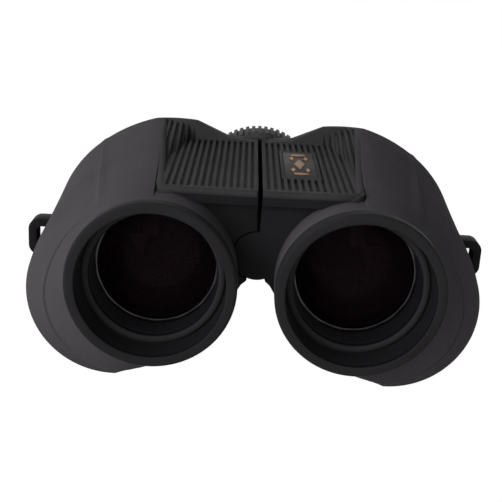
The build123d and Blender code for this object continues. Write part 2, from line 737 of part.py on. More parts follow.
def make_front_prism(side):
    top = OBJECTIVE_Z + PRISM_FACE / 2 - PRISM_CORNER
    bottom = EYE_Z - PRISM_FACE / 2 + PRISM_CORNER
    middle = (top + bottom) / 2
    base = SHELF_STATION
    apex = base - PRISM_FACE
    points = [
        (base, top),
        (base - PRISM_CORNER, top),
        (apex + PRISM_APEX_FLAT, middle + PRISM_APEX_FLAT),
        (apex + PRISM_APEX_FLAT, middle - PRISM_APEX_FLAT),
        (base - PRISM_CORNER, bottom),
        (base, bottom),
    ]
    with BuildPart() as glass:
        with BuildSketch(along(side * EYE_X - PRISM_HEIGHT / 2, 0)):
            with BuildLine():
                Polyline(*points, close=True)
            make_face()
        extrude(amount=PRISM_HEIGHT)
    return glass.part


def make_shelf(side):
    rear = SHELF_STATION + SHELF_T
    with BuildPart() as shelf:
        add(chamber_form(side, CHAMBER_INSET + CHAMBER_CLEAR, SHELF_STATION, RAMP_REAR))
        split(bisect_by=cross(rear), keep=Keep.TOP)
        split(bisect_by=Plane.XY.offset(CHAMBER_TOP - CHAMBER_CLEAR), keep=Keep.BOTTOM)
        for x, z in ((OBJECTIVE_X, OBJECTIVE_Z), (EYE_X, OBJECTIVE_Z), (EYE_X, EYE_Z)):
            tube(side * x, z, SHELF_STATION, rear, SHELF_HOLE_R, mode=Mode.SUBTRACT)
    return shelf.part


def clip_points(base, top, half, outward):
    """Strap over a prism: foot, leg, bridge, leg, foot, as (station, offset across the prism)."""
    leg = half + CLIP_T
    lift = outward * CLIP_T
    return [
        (base, -leg - CLIP_FOOT),
        (base + lift, -leg - CLIP_FOOT),
        (base + lift, -leg),
        (top + lift, -leg),
        (top + lift, leg),
        (base + lift, leg),
        (base + lift, leg + CLIP_FOOT),
        (base, leg + CLIP_FOOT),
        (base, half),
        (top, half),
        (top, -half),
        (base, -half),
    ]


def make_clips(side):
    half = PRISM_HEIGHT / 2 + FIT_CLEAR
    rear_top = SHELF_STATION + SHELF_T + PRISM_FACE - PRISM_APEX_FLAT
    front_top = SHELF_STATION - PRISM_FACE + PRISM_APEX_FLAT
    with BuildPart() as clips:
        ridge_x = (OBJECTIVE_X + EYE_X) / 2
        with BuildSketch(along(side * ridge_x - CLIP_WIDTH / 2, OBJECTIVE_Z)) as rear:
            with BuildLine():
                Polyline(*clip_points(SHELF_STATION + SHELF_T, rear_top, half, 1), close=True)
            make_face()
        extrude(rear.sketch, amount=CLIP_WIDTH)
        ridge_z = (OBJECTIVE_Z + EYE_Z) / 2
        with BuildSketch(Plane.XY.offset(ridge_z - CLIP_WIDTH / 2)) as front:
            with BuildLine():
                strap = clip_points(SHELF_STATION, front_top, half, -1)
                Polyline(*[(side * EYE_X + across, Y_FRONT + s) for s, across in strap], close=True)
            make_face()
        extrude(front.sketch, amount=CLIP_WIDTH)
    return clips.part


def make_cover(side):
    with BuildPart() as cover:
        bevel = COVER_REAR - COVER_EDGE
        loft([body_outline(side, BODY_REAR), body_outline(side, bevel)], ruled=True)
        loft([body_outline(side, bevel), body_outline(side, COVER_REAR, COVER_EDGE)], ruled=True)
        tube(0, HINGE_Z, BODY_REAR, COVER_REAR, POCKET_R, mode=Mode.SUBTRACT)
        guide = (side * EYE_X, EYE_Z)
        tube(*guide, GUIDE_FRONT, GUIDE_REAR, GUIDE_R + GUIDE_WALL)
        tube(*guide, GUIDE_FRONT, GUIDE_REAR, GUIDE_R, mode=Mode.SUBTRACT)
        for x, z in screw_places():
            head = COVER_REAR - COVER_SCREW_HEAD_T
            tube(side * x, z, BODY_REAR, COVER_REAR, COVER_SCREW_R + FIT_CLEAR, mode=Mode.SUBTRACT)
            tube(side * x, z, head, COVER_REAR, COVER_SCREW_HEAD_R + FIT_CLEAR, mode=Mode.SUBTRACT)
    return cover.part


def make_cover_screws(side):
    head = COVER_REAR - COVER_SCREW_HEAD_T
    with BuildPart() as screws:
        for x, z in screw_places():
            tube(side * x, z, head - COVER_SCREW_LENGTH, head, COVER_SCREW_R)
            tube(side * x, z, head, COVER_REAR - FIT_CLEAR, COVER_SCREW_HEAD_R)
    return screws.part


def make_sleeve(side):
    inner = SLEEVE_R - SLEEVE_WALL
    with BuildPart() as sleeve:
        turn(
            side * EYE_X,
            EYE_Z,
            [
                (SLEEVE_FRONT, inner),
                (SLEEVE_FRONT, SLEEVE_R),
                (BRIDGE_REAR, SLEEVE_R),
                (BRIDGE_REAR, SLEEVE_FLANGE_R),
                (FLANGE_REAR, SLEEVE_FLANGE_R),
                (FLANGE_REAR, inner),
            ],
        )
    return sleeve.part


def make_ocular(side):
    eye_lens_front = EYE_RING_FRONT - EYE_LENS_T
    field_rear = FIELD_LENS_FRONT + FIELD_LENS_T
    with BuildPart() as ocular:
        turn(
            side * EYE_X,
            EYE_Z,
            [
                (OCULAR_FRONT, FIELD_LENS_R + FIT_CLEAR),
                (OCULAR_FRONT, OCULAR_R),
                (HEAD_FRONT, OCULAR_R),
                (HEAD_FRONT, HEAD_R),
                (HEAD_REAR, HEAD_R),
                (HEAD_REAR, EYE_LENS_R + FIT_CLEAR),
                (eye_lens_front, EYE_LENS_R + FIT_CLEAR),
                (eye_lens_front, OCULAR_STOP_R),
                (field_rear, OCULAR_STOP_R),
                (field_rear, FIELD_LENS_R + FIT_CLEAR),
            ],
        )
    return ocular.part


def make_ocular_rings(side):
    axis = (side * EYE_X, EYE_Z)
    field_ring = FIELD_LENS_FRONT - OCULAR_RING_T
    with BuildPart() as rings:
        eye_ring_rear = EYE_RING_FRONT + OCULAR_RING_T
        tube(*axis, EYE_RING_FRONT, eye_ring_rear, EYE_LENS_R, EYE_LENS_R - OCULAR_RING_LIP)
        tube(*axis, field_ring, FIELD_LENS_FRONT, FIELD_LENS_R, FIELD_LENS_R - OCULAR_RING_LIP)
    return rings.part


def make_ribbed_ring(side):
    """Ring behind the sleeve flange, ribbed all round for the fingers."""
    axis = (side * EYE_X, EYE_Z)
    with BuildPart() as ring:
        tube(*axis, RING_FRONT, RING_REAR, COLLAR_R - RING_RIB_HEIGHT)
        with BuildSketch(cross(RING_FRONT + RING_RIB_HEIGHT)) as ribs:
            with Locations(axis):
                with PolarLocations(COLLAR_R - RING_RIB_HEIGHT, RING_RIBS):
                    Rectangle(2 * RING_RIB_HEIGHT, RING_RIB_WIDTH)
        extrude(ribs.sketch, amount=-(RING_LENGTH - 2 * RING_RIB_HEIGHT))
        tube(*axis, RING_FRONT, RING_REAR, OCULAR_R + RUN_CLEAR, mode=Mode.SUBTRACT)
    return ring.part


def make_eyecup(side):
    inner = HEAD_R + RUN_CLEAR
    lip_front = EYECUP_REAR - EYECUP_LIP_T
    with BuildPart() as eyecup:
        turn(
            side * EYE_X,
            EYE_Z,
            [
                (EYECUP_FRONT, inner),
                (EYECUP_FRONT, EYECUP_R),
                (EYECUP_REAR, EYECUP_R),
                (EYECUP_REAR, EYECUP_OPENING_R),
                (lip_front, EYECUP_OPENING_R),
                (lip_front, inner),
            ],
        )
        rear = eyecup.edges().group_by(Axis.Y)[-1].sort_by(SortBy.RADIUS)
        fillet(rear[-1], EYECUP_ROUND)
        fillet(rear[0], EYECUP_LIP_ROUND)
    return eyecup.part


def make_shaft():
    with BuildPart() as shaft:
        tube(0, HINGE_Z, SHAFT_FRONT + FIT_CLEAR, SHAFT_REAR, SHAFT_R)
        tube(
            0,
            HINGE_Z,
            SHAFT_REAR - END_SCREW_SHANK,
            SHAFT_REAR,
            END_SCREW_SHANK_R + FIT_CLEAR,
            mode=Mode.SUBTRACT,
        )
    return shaft.part


def make_end_screw():
    with BuildPart() as screw:
        tube(0, HINGE_Z, SHAFT_REAR - END_SCREW_SHANK + FIT_CLEAR, SHAFT_REAR, END_SCREW_SHANK_R)
        tube(0, HINGE_Z, SHAFT_REAR, SHAFT_REAR + END_SCREW_T, END_SCREW_R)
    return screw.part


def make_washers():
    with BuildPart() as washers:
        for end in (FRONT_KNUCKLE_END, MIDDLE_KNUCKLE_END):
            start = end + WASHER_CLEAR
            tube(0, HINGE_Z, start, start + WASHER_T, WASHER_R, SHAFT_R + FIT_CLEAR)
    return washers.part


def make_wheel_hub():
    with BuildPart() as hub:
        tube(0, HINGE_Z, WHEEL_FRONT, WHEEL_REAR, WHEEL_R - GRIP_T - FIT_CLEAR, SCREW_R + FIT_CLEAR)
    return hub.part


def make_wheel_grip():
    """Rubber ring with ridges along its length and rounded ends."""
    root = WHEEL_R - RIDGE_HEIGHT
    with BuildPart() as grip:
        with BuildSketch(cross(WHEEL_FRONT)) as outline:
            with Locations((0, HINGE_Z)):
                Circle(root)
                with PolarLocations(root, WHEEL_RIDGES):
                    Rectangle(2 * RIDGE_HEIGHT, RIDGE_WIDTH)
                Circle(WHEEL_R - GRIP_T, mode=Mode.SUBTRACT)
        extrude(outline.sketch, amount=-WHEEL_LENGTH)
        turn(
            0,
            HINGE_Z,
            [
                (WHEEL_FRONT, 0),
                (WHEEL_FRONT, WHEEL_R - WHEEL_EDGE),
                (WHEEL_FRONT + WHEEL_EDGE, WHEEL_R),
                (WHEEL_REAR - WHEEL_EDGE, WHEEL_R),
                (WHEEL_REAR, WHEEL_R - WHEEL_EDGE),
                (WHEEL_REAR, 0),
            ],
            Mode.INTERSECT,
        )
    return grip.part


def make_focus_screw():
    with BuildPart() as screw:
        tube(0, HINGE_Z, WHEEL_FRONT, SHAFT_REAR - RUN_CLEAR, SCREW_R, SHAFT_R + RUN_CLEAR)
    return screw.part


def make_focus_nut():
    with BuildPart() as nut:
        tube(0, HINGE_Z, NUT_FRONT, NUT_REAR, NUT_R)
        tube(0, HINGE_Z, BRIDGE_REAR, NUT_REAR, NUT_FLANGE_R)
        tube(0, HINGE_Z, NUT_FRONT, NUT_REAR, SCREW_R + RUN_CLEAR, mode=Mode.SUBTRACT)
    return nut.part


def make_arm(name, side):
    """Arm of the bridge: the left one is a fork on the nut, the right one a tongue between its prongs."""
    middle = (BRIDGE_FRONT + BRIDGE_REAR) / 2
    tongue = (middle - BRIDGE_TONGUE_T / 2, middle + BRIDGE_TONGUE_T / 2)
    slit = (tongue[0] - BRIDGE_SLIT, tongue[1] + BRIDGE_SLIT)
    hub = Vector(0, HINGE_Z)
    eye = Vector(side * EYE_X, EYE_Z)
    line = (eye - hub).normalized()
    normal = Vector(-line.Y, line.X)
    corners = [
        hub + normal * ARM_HUB_WIDTH / 2,
        eye + normal * ARM_COLLAR_WIDTH / 2,
        eye - normal * ARM_COLLAR_WIDTH / 2,
        hub - normal * ARM_HUB_WIDTH / 2,
    ]
    clear_r = BRIDGE_EYE_R + KNUCKLE_CLEAR
    with BuildPart() as arm:
        prism([(p.X, p.Y) for p in corners], BRIDGE_FRONT, BRIDGE_REAR)
        tube(side * EYE_X, EYE_Z, BRIDGE_FRONT, BRIDGE_REAR, COLLAR_R)
        if name == "left":
            tube(0, HINGE_Z, BRIDGE_FRONT, BRIDGE_REAR, BRIDGE_EYE_R)
            tube(0, HINGE_Z, *slit, clear_r, mode=Mode.SUBTRACT)
            bore = NUT_R + FIT_CLEAR
        else:
            tube(0, HINGE_Z, BRIDGE_FRONT, BRIDGE_REAR, clear_r, mode=Mode.SUBTRACT)
            tube(0, HINGE_Z, *tongue, BRIDGE_EYE_R)
            prism([(p.X, p.Y) for p in corners], *tongue)
            bore = NUT_R + RUN_CLEAR
        tube(0, HINGE_Z, BRIDGE_FRONT, BRIDGE_REAR, bore, mode=Mode.SUBTRACT)
        tube(side * EYE_X, EYE_Z, BRIDGE_FRONT, BRIDGE_REAR, SLEEVE_R + FIT_CLEAR, mode=Mode.SUBTRACT)
        fillet(arm.edges().filter_by(GeomType.CIRCLE).group_by(SortBy.RADIUS)[-1], ARM_ROUND)
    return arm.part


def make_cap():
    """Cap on the nut flange that hides the end of the screw."""
    with BuildPart() as cap:
        turn(
            0,
            HINGE_Z,
            [
                (BRIDGE_REAR + FIT_CLEAR, NUT_FLANGE_R + FIT_CLEAR),
                (BRIDGE_REAR + FIT_CLEAR, BRIDGE_EYE_R),
                (CAP_REAR, BRIDGE_EYE_R),
                (CAP_REAR, 0),
                (CAP_REAR - CAP_WALL, 0),
                (CAP_REAR - CAP_WALL, NUT_R),
                (NUT_REAR + FIT_CLEAR, NUT_R),
                (NUT_REAR + FIT_CLEAR, NUT_FLANGE_R + FIT_CLEAR),
            ],
        )
        fillet(cap.edges().group_by(Axis.Y)[-1], CAP_WALL)
    return cap.part


def objective_pieces(name, side):
    axis = (side * OBJECTIVE_X, OBJECTIVE_Z)
    return {
        f"{name}_objective_bezel": make_bezel(side),
        f"{name}_objective_cell": make_cell(side),
        f"{name}_objective_lock_ring": make_ring(
            *axis, LOCK_RING_FRONT, LOCK_RING_T, LENS_R, LENS_CLEAR_R
        ),
        f"{name}_objective_crown": make_lens(
            *axis, LENS_FRONT, LENS_CEMENT, LENS_R, CELL_SEAT_R, -CROWN_FRONT_SAG, CEMENT_SAG
        ),
        f"{name}_objective_flint": make_lens(
            *axis, LENS_CEMENT, LENS_REAR, LENS_R, CELL_SEAT_R, CEMENT_SAG, FLINT_REAR_SAG
        ),
    }


def eyepiece_pieces(name, side):
    axis = (side * EYE_X, EYE_Z)
    field = (FIELD_LENS_FRONT, FIELD_LENS_FRONT + FIELD_LENS_T, FIELD_LENS_R)
    eye = (EYE_RING_FRONT - EYE_LENS_T, EYE_RING_FRONT, EYE_LENS_R)
    ring_name = "left_ocular_collar" if name == "left" else "diopter_ring"
    return {
        f"{name}_eyepiece_sleeve": make_sleeve(side),
        f"{name}_ocular_barrel": make_ocular(side),
        f"{name}_field_lens": make_lens(*axis, *field, FIELD_LENS_R - OCULAR_RING_LIP, *FIELD_LENS_SAGS),
        f"{name}_eye_lens": make_lens(*axis, *eye, EYE_LENS_R - OCULAR_RING_LIP, *EYE_LENS_SAGS),
        f"{name}_ocular_rings": make_ocular_rings(side),
        ring_name: make_ribbed_ring(side),
        f"{name}_eyecup": make_eyecup(side),
        f"{name}_bridge_arm": make_arm(name, side),
    }


def body_pieces(name, side):
    outer_form = body_form(side, 0.0)
    inner_form = body_form(side, ARMOUR_T)
    return {
        f"{name}_armour": make_armour(side, outer_form, inner_form),
        f"{name}_housing": make_housing(name, side, inner_form),
        f"{name}_grip_pad": make_pad(name, side),
        f"{name}_strap_lug": make_lug(side, inner_form),
        f"{name}_prism_shelf": make_shelf(side),
        f"{name}_front_prism": make_front_prism(side),
        f"{name}_rear_prism": make_rear_prism(side),
        f"{name}_prism_clips": make_clips(side),
        f"{name}_rear_cover": make_cover(side),
        f"{name}_cover_screws": make_cover_screws(side),
    }


def centre_pieces():
    return {
        "badge": make_badge(SIDES["left"]),
        "hinge_shaft": make_shaft(),
        "hinge_washers": make_washers(),
        "shaft_end_screw": make_end_screw(),
        "focus_wheel_hub": make_wheel_hub(),
        "focus_wheel_grip": make_wheel_grip(),
        "focus_screw": make_focus_screw(),
        "focus_nut": make_focus_nut(),
        "bridge_cap": make_cap(),
    }


def main():
    os.makedirs("parts", exist_ok=True)
    pieces = centre_pieces()
    for name, side in SIDES.items():
        pieces |= body_pieces(name, side)
        pieces |= objective_pieces(name, side)
        pieces |= eyepiece_pieces(name, side)
    for name, piece in pieces.items():
        piece.label = name
        export_step(piece, f"parts/{name}.step")


if __name__ == "__main__":
    main()
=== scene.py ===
"""Looks of a pair of compact binoculars with reversed prisms, made around their CAD frame.

Laid out as a Blender add-on and run as a script: each operator dresses one group of pieces, and the
last one sets the stage. Lengths are metres, in the frame of the CAD part: X runs to the user's left,
Y from the front lenses to the eyepieces and Z up from the floor.
"""

import json
from math import asin, cos, radians, sin

import bpy
from bpy.props import FloatProperty, FloatVectorProperty, PointerProperty
from mathutils import Matrix, Vector

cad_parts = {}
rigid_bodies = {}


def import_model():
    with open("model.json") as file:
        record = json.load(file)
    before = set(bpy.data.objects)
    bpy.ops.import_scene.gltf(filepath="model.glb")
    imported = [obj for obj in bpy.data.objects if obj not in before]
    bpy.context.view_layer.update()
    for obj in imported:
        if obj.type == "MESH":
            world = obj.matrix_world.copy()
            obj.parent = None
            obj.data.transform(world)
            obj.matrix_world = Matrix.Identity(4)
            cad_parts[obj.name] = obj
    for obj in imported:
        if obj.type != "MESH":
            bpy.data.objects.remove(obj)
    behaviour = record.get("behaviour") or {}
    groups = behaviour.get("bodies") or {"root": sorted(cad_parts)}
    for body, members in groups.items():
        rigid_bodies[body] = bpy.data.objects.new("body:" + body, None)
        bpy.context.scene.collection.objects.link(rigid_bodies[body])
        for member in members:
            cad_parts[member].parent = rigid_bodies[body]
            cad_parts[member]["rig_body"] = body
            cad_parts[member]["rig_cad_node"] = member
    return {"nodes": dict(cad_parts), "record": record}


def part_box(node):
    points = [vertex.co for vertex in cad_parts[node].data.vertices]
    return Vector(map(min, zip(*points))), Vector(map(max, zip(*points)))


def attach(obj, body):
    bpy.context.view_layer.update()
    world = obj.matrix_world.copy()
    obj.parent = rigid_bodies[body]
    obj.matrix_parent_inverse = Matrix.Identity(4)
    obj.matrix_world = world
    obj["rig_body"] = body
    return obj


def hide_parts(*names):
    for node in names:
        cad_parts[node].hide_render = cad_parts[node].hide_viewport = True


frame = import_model()

bl_info = {
    "name": "Compact Binoculars",
    "version": (1, 0, 0),
    "blender": (4, 5, 0),
    "location": "View3D > Sidebar > Binoculars",
    "description": "Dresses the CAD frame of compact binoculars and sets a plain studio",
    "category": "Object",
}

MM = 0.001
SIDES = {"left": 1, "right": -1}
BODY_OF = {
    node: body
    for body, nodes in frame["record"]["behaviour"]["bodies"].items()
    for node in nodes
}


def middle_of(node):
    """Centre of a CAD node's box."""
    low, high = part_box(node)
    return (low + high) / 2


# Places that the trim of the left half follows, and the right half mirrors
BARREL = middle_of("left_objective_bezel")
SKIN_LOW, SKIN_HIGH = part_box("left_armour")
PAD_LOW, PAD_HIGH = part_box("left_grip_pad")
PAD_TOP = PAD_LOW.z + 1.2 * MM
PAD_CORNER = Vector((PAD_HIGH.x, PAD_LOW.y, PAD_TOP))

# Welding, rounding and shading of the meshes, and the corners of Blender's bound_box
WELD_DISTANCE = 0.001 * MM
FLAT_ANGLE = radians(0.4)
SHARP_ANGLE = radians(38)
SMOOTH_ANGLE = radians(32)
ROUNDING_STEPS = 2
RING_SIDES = 128
BEAD_SIDES = 16
LOWEST, HIGHEST = 0, 6

# Groove behind the flared band, on a barrel's outer side, from its axis to a height above it
CREASE_BEHIND_RIM = 5.5 * MM
CREASE_INNER = 4 * MM
CREASE_TOP = 10.6 * MM
CREASE_FADE = 1.5 * MM

# Cuts and floor of that groove, and how far the shade painted along its floor reaches, in shares of
# its width
CREASE_CUTS = (-0.5, -0.25, 0, 0.25, 0.5)
CREASE_SHOULDER = 0.4
CREASE_BOTTOM = 0.15
CREASE_SHADE_REACH = 0.3

# Soft edge along a barrel, between two (y, z) places
RIDGE_FRONT = (SKIN_LOW.y + 6.3 * MM, BARREL.z + 14.0 * MM)
RIDGE_REAR = (SKIN_HIGH.y - 8.2 * MM, BARREL.z + 16.5 * MM)
RIDGE_FADE_IN = 9 * MM
RIDGE_FADE_OUT = 24 * MM
RIDGE_INNER = BARREL.x + 6.8 * MM
RIDGE_FACING = 0.2
RIDGE_LIFTS = 4

# Top line of the bead round the left pad, from the shoulder to the hinge, in steps from its corner
BEAD_TOP = [
    PAD_CORNER + Vector(step) * MM
    for step in (
        (3.0, 52.0, 4.0),
        (2.1, 36.8, 2.7),
        (0.9, 22.8, 1.4),
        (-0.1, 10.8, 0.3),
        (-0.6, 4.6, 0.2),
        (-1.0, 2.6, 0.2),
        (-1.9, 1.3, 0.2),
        (-3.4, 0.65, 0.2),
        (-5.7, 0.5, 0.15),
        (-20.45, 0.5, 0.1),
    )
]

# Ribs that climb a shoulder; the crest is a (y, z) place, and widths are shares of half a pitch
CREST = (PAD_HIGH.y - 0.135 * MM, PAD_HIGH.z - 0.05 * MM)
FIRST_STRIP = PAD_HIGH.x - 3.65 * MM
STRIPS = 9
FOOT_REAR = CREST[0] - 4.7 * MM
FOOT_FRONT = PAD_LOW.y + 20.8 * MM
FOOT_SLANT = 6.8
RIB_SHARE = 0.97
VALLEY_SHARE = 1.1

# Figure of the badge, in shares of the badge's half width and half length
LOZENGE = (0.36, 0.40)
SMALL_LOZENGE = (0.17, 0.16)
SMALL_LOZENGE_PLACE = (0.46, 0.44)
BAR = (0.54, 0.06)
BAR_PLACE = 0.72

# Cross recess of a screw, in shares of the head's width and the recess's width
RECESS_SPAN = 0.6
RECESS_BEVEL = 0.2
RECESS_TURN = radians(37)

# Mouth and baffles of a cell, the baffles in shares of their pitch and depth
LIP_STEPS = 8
BORE_FACING = 0.9
BAFFLE_GAP = 0.3
BAFFLE_RISE = 0.15
BAFFLE_ROOT = 0.5

# Diopter marks, in shares of a mark's length, width and height
MARKS_EACH_WAY = 4
MARK_STEP = radians(15)
MARK_INSET = 0.9
ZERO_MARK = 1.5
MARK_RISE = 0.5
MARK_BEVEL = 0.2
DOT_SPAN = 2

# Patterns and tones of the materials; one ring of the wave texture is WAVE_LENGTH long at scale 1
RAMP_ENDS = (0.3, 0.7)
CLOUD_SIZE = 14 * MM
SCUFF_SIZE = 2.5 * MM
WAVER_SIZE = 6 * MM
WAVER_SHARE = 0.6
GLOSS_SWING = 0.06
WAVE_LENGTH = radians(360) / 20
RING_DISTORTION = 0.4
RING_TONES = (0.8, 1.15)
RING_GLOSS = (-0.05, 0.08)
SMEAR_SIZE = 4 * MM
SMEAR_GLOSS = 0.03
SMEAR_TONE = 0.97
# Painted shade: the crease's floor gets the armour colour darkened to this share
CREASE_SHADE_TONE = 0.25
BEAD_TONE = 0.95
# Painted highlight: the cell lip gets the rim colour made lighter by this share
LIP_HIGHLIGHT_TONE = 1.4
CUP_TONE = 0.6

# Studio
LAMP_PLACES = {
    "key": (-0.48, -0.50, 0.32),
    "side": (-0.56, 0.08, 0.52),
    "fill": (0.16, -0.74, 0.03),
    "right": (0.60, -0.36, 0.03),
    "back": (0.14, 0.70, 0.20),
}
LAMP_TARGET = (0, 0, 0.03)
WHITE = (1, 1, 1, 1)
FLOOR_SPECK = 30 * MM
FLOOR_TONES = (0.64, 0.66)
FLOOR_ROUGHNESS = 0.9
FLOOR_GLOW = 1.05
FLOOR_GLOW_SHARE = 0.95
SENSOR_WIDTH = 36
CLIP_START = 10 * MM


# Settings that a user would change


def colour_setting(name, description, default):
    return FloatVectorProperty(
        name=name, description=description, subtype="COLOR", size=3, min=0, max=1, default=default
    )


def length_setting(name, description, default):
    return FloatProperty(
        name=name, description=description, subtype="DISTANCE", unit="LENGTH", min=0, default=default
    )


def place_setting(name, description, default):
    return FloatVectorProperty(
        name=name, description=description, subtype="TRANSLATION", unit="LENGTH", default=default
    )


def power_setting(name, description, default):
    return FloatProperty(name=name, description=description, unit="POWER", min=0, default=default)


class BinocularFinish(bpy.types.PropertyGroup):
    """Colours and surface sizes of the binoculars"""

    armour_colour: colour_setting("Armour", "Rubber skin of both halves", (0.049, 0.0455, 0.049))
    grip_colour: colour_setting("Grip pads", "Ribbed pads on the roof", (0.030, 0.030, 0.031))
    wheel_colour: colour_setting("Focus wheel", "Grip of the focus wheel", (0.033, 0.033, 0.034))
    shell_colour: colour_setting("Shell", "Moulded housing and covers", (0.010, 0.010, 0.011))
    rim_colour: colour_setting("Rims", "Front rims and rings", (0.015, 0.015, 0.016))
    metal_black: colour_setting("Blackened metal", "Cells, sleeves and shelves", (0.006, 0.006, 0.007))
    lock_colour: colour_setting("Lock rings", "Edge of the front lens rings", (0.06, 0.06, 0.063))
    brass_colour: colour_setting("Brass", "Focus screw and its nut", (0.55, 0.40, 0.16))
    steel_colour: colour_setting("Steel", "Hinge shaft, washers and end screw", (0.50, 0.50, 0.52))
    spring_colour: colour_setting("Springs", "Clips that hold the prisms", (0.30, 0.30, 0.31))
    enamel_colour: colour_setting("Badge enamel", "Dark ground of the badge", (0.020, 0.018, 0.017))
    copper_colour: colour_setting("Badge copper", "Raised figure of the badge", (0.32, 0.19, 0.115))
    marking_colour: colour_setting("Markings", "Paint of the diopter marks", (0.62, 0.61, 0.58))
    front_glass: colour_setting("Front glass", "Body of the front lenses", (0.16, 0.10, 0.12))
    front_coating: colour_setting("Front coating", "What they throw back", (0.60, 0.38, 0.42))
    flint_glass: colour_setting("Flint glass", "Body of the lenses behind them", (0.92, 0.95, 0.94))
    eye_glass: colour_setting("Eye glass", "Body of the eyepiece lenses", (0.80, 0.86, 0.82))
    eye_coating: colour_setting("Eye coating", "What those throw back", (0.35, 0.6, 0.45))
    prism_glass: colour_setting("Prism glass", "Body of the prisms", (0.90, 0.94, 0.92))
    armour_round: length_setting("Armour edges", "Rounding of the rubber skin's edges", 0.35 * MM)
    rib_round: length_setting("Rib edges", "Rounding of ribs and thin rings", 0.14 * MM)
    ridge_round: length_setting("Wheel ridges", "Rounding of the wheel's ridges", 0.28 * MM)
    shell_round: length_setting("Shell edges", "Rounding of moulded edges", 0.18 * MM)
    grain: length_setting("Rubber grain", "Size of the grain on the rubber skin", 0.30 * MM)
    crease_width: length_setting("Crease width", "Groove between flared band and dome", 0.8 * MM)
    crease_depth: length_setting("Crease depth", "How deep that groove is", 0.9 * MM)
    ridge_height: length_setting("Barrel ridge", "How far a barrel's soft edge is raised", 0.55 * MM)
    ridge_spread: length_setting("Ridge spread", "Reach of that edge to either side", 4.5 * MM)
    bead_width: length_setting("Bead width", "Half the width of a pad's bead", 0.9 * MM)
    bead_height: length_setting("Bead height", "Half the height of a pad's bead", 0.8 * MM)
    rib_pitch: length_setting("Shoulder ribs", "Step of the ribs on the shoulders", 1.45 * MM)
    rib_height: length_setting("Shoulder rib height", "How far those ribs stand up", 0.55 * MM)
    motif_height: length_setting("Motif height", "Rise of the badge's figure", 0.14 * MM)
    recess_width: length_setting("Screw recess", "Width of the cross in a screw head", 0.55 * MM)
    recess_depth: length_setting("Screw recess depth", "Depth of that cross", 0.6 * MM)
    lip_height: length_setting("Cell lip", "How far a cell's rounded mouth stands out", 0.5 * MM)
    baffle_pitch: length_setting("Baffle pitch", "Step of the baffles in the cells", 1.0 * MM)
    baffle_depth: length_setting("Baffle depth", "Height of the baffles in the cells", 0.3 * MM)
    mark_length: length_setting("Mark length", "Length of a diopter mark", 1.1 * MM)
    mark_width: length_setting("Mark width", "Width of a diopter mark", 0.28 * MM)


class BinocularStage(bpy.types.PropertyGroup):
    """Camera, floor and lamps of the studio"""

    camera_place: place_setting("Camera", "Where it stands", (-0.00376, -0.23328, 0.10022))
    camera_target: place_setting("Target", "What it looks at", (-0.00143, -0.0528, 0.0402))
    camera_roll: FloatProperty(
        name="Roll",
        description="Tilt of the camera about its own axis",
        subtype="ANGLE",
        unit="ROTATION",
        default=radians(3.16),
    )
    camera_lens: FloatProperty(
        name="Lens", description="Focal length in millimetres on a 36 mm sensor", default=69.35
    )
    floor_size: length_setting("Floor", "Side of the floor", 4.0)
    lamp_size: length_setting("Lamps", "Side of each lamp", 0.5)
    key_power: power_setting("Key", "Lamp at the front left of the picture", 6.0)
    side_power: power_setting("Side", "High lamp on the left of the picture", 2.7)
    fill_power: power_setting("Fill", "Low lamp in front", 1.4)
    right_power: power_setting("Right", "Low lamp on the right of the picture", 1.0)
    back_power: power_setting("Back", "Lamp behind the eyepieces", 3.0)
    sky: FloatProperty(name="Sky", description="Even light from all round", min=0, default=0.10)


# Modelling


def select_only(piece):
    bpy.ops.object.select_all(action="DESELECT")
    piece.select_set(True)
    bpy.context.view_layer.objects.active = piece


def apply_modifiers(piece):
    select_only(piece)
    for modifier in list(piece.modifiers):
        bpy.ops.object.modifier_apply(modifier=modifier.name)


def apply_place():
    """Put the selected piece's place, turn and scale into its mesh."""
    bpy.ops.object.transform_apply(location=True, rotation=True, scale=True)


def edit_all(piece):
    """Go into edit mode with the whole piece selected."""
    select_only(piece)
    bpy.ops.object.mode_set(mode="EDIT")
    bpy.ops.mesh.select_all(action="SELECT")


def select_vertices(piece, test):
    """Select the vertices of a piece that pass a test, and stay in edit mode."""
    select_only(piece)
    bpy.ops.object.mode_set(mode="EDIT")
    bpy.ops.mesh.select_mode(type="VERT")
    bpy.ops.mesh.select_all(action="DESELECT")
    bpy.ops.object.mode_set(mode="OBJECT")
    for vertex in piece.data.vertices:
        vertex.select = test(vertex)
    bpy.ops.object.mode_set(mode="EDIT")


def close_up(piece):
    """Merge a piece's doubles, turn its faces outwards and put its place into its mesh."""
    select_only(piece)
    apply_place()
    edit_all(piece)
    bpy.ops.mesh.remove_doubles(threshold=WELD_DISTANCE)
    bpy.ops.mesh.normals_make_consistent(inside=False)
    bpy.ops.object.mode_set(mode="OBJECT")


def join_pieces(pieces, name):
    bpy.ops.object.select_all(action="DESELECT")
    for piece in pieces:
        piece.select_set(True)
    bpy.context.view_layer.objects.active = pieces[0]
    bpy.ops.object.join()
    joined = bpy.context.object
    joined.name = name
    joined.data.name = name
    return joined


def welded_copy(node, name):
    """Copy of a CAD node with its loose triangles joined and its flat faces made whole."""
    select_only(frame["nodes"][node])
    bpy.ops.object.duplicate()
    piece = bpy.context.object
    piece.name = name
    piece.data.name = name
    del piece["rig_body"]
    del piece["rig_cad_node"]
    bpy.ops.object.parent_clear(type="CLEAR_KEEP_TRANSFORM")
    piece.data.materials.clear()
    edit_all(piece)
    bpy.ops.mesh.customdata_custom_splitnormals_clear()
    bpy.ops.mesh.remove_doubles(threshold=WELD_DISTANCE)
    bpy.ops.mesh.dissolve_limited(angle_limit=FLAT_ANGLE, delimit={"NORMAL"})
    bpy.ops.object.mode_set(mode="OBJECT")
    return piece


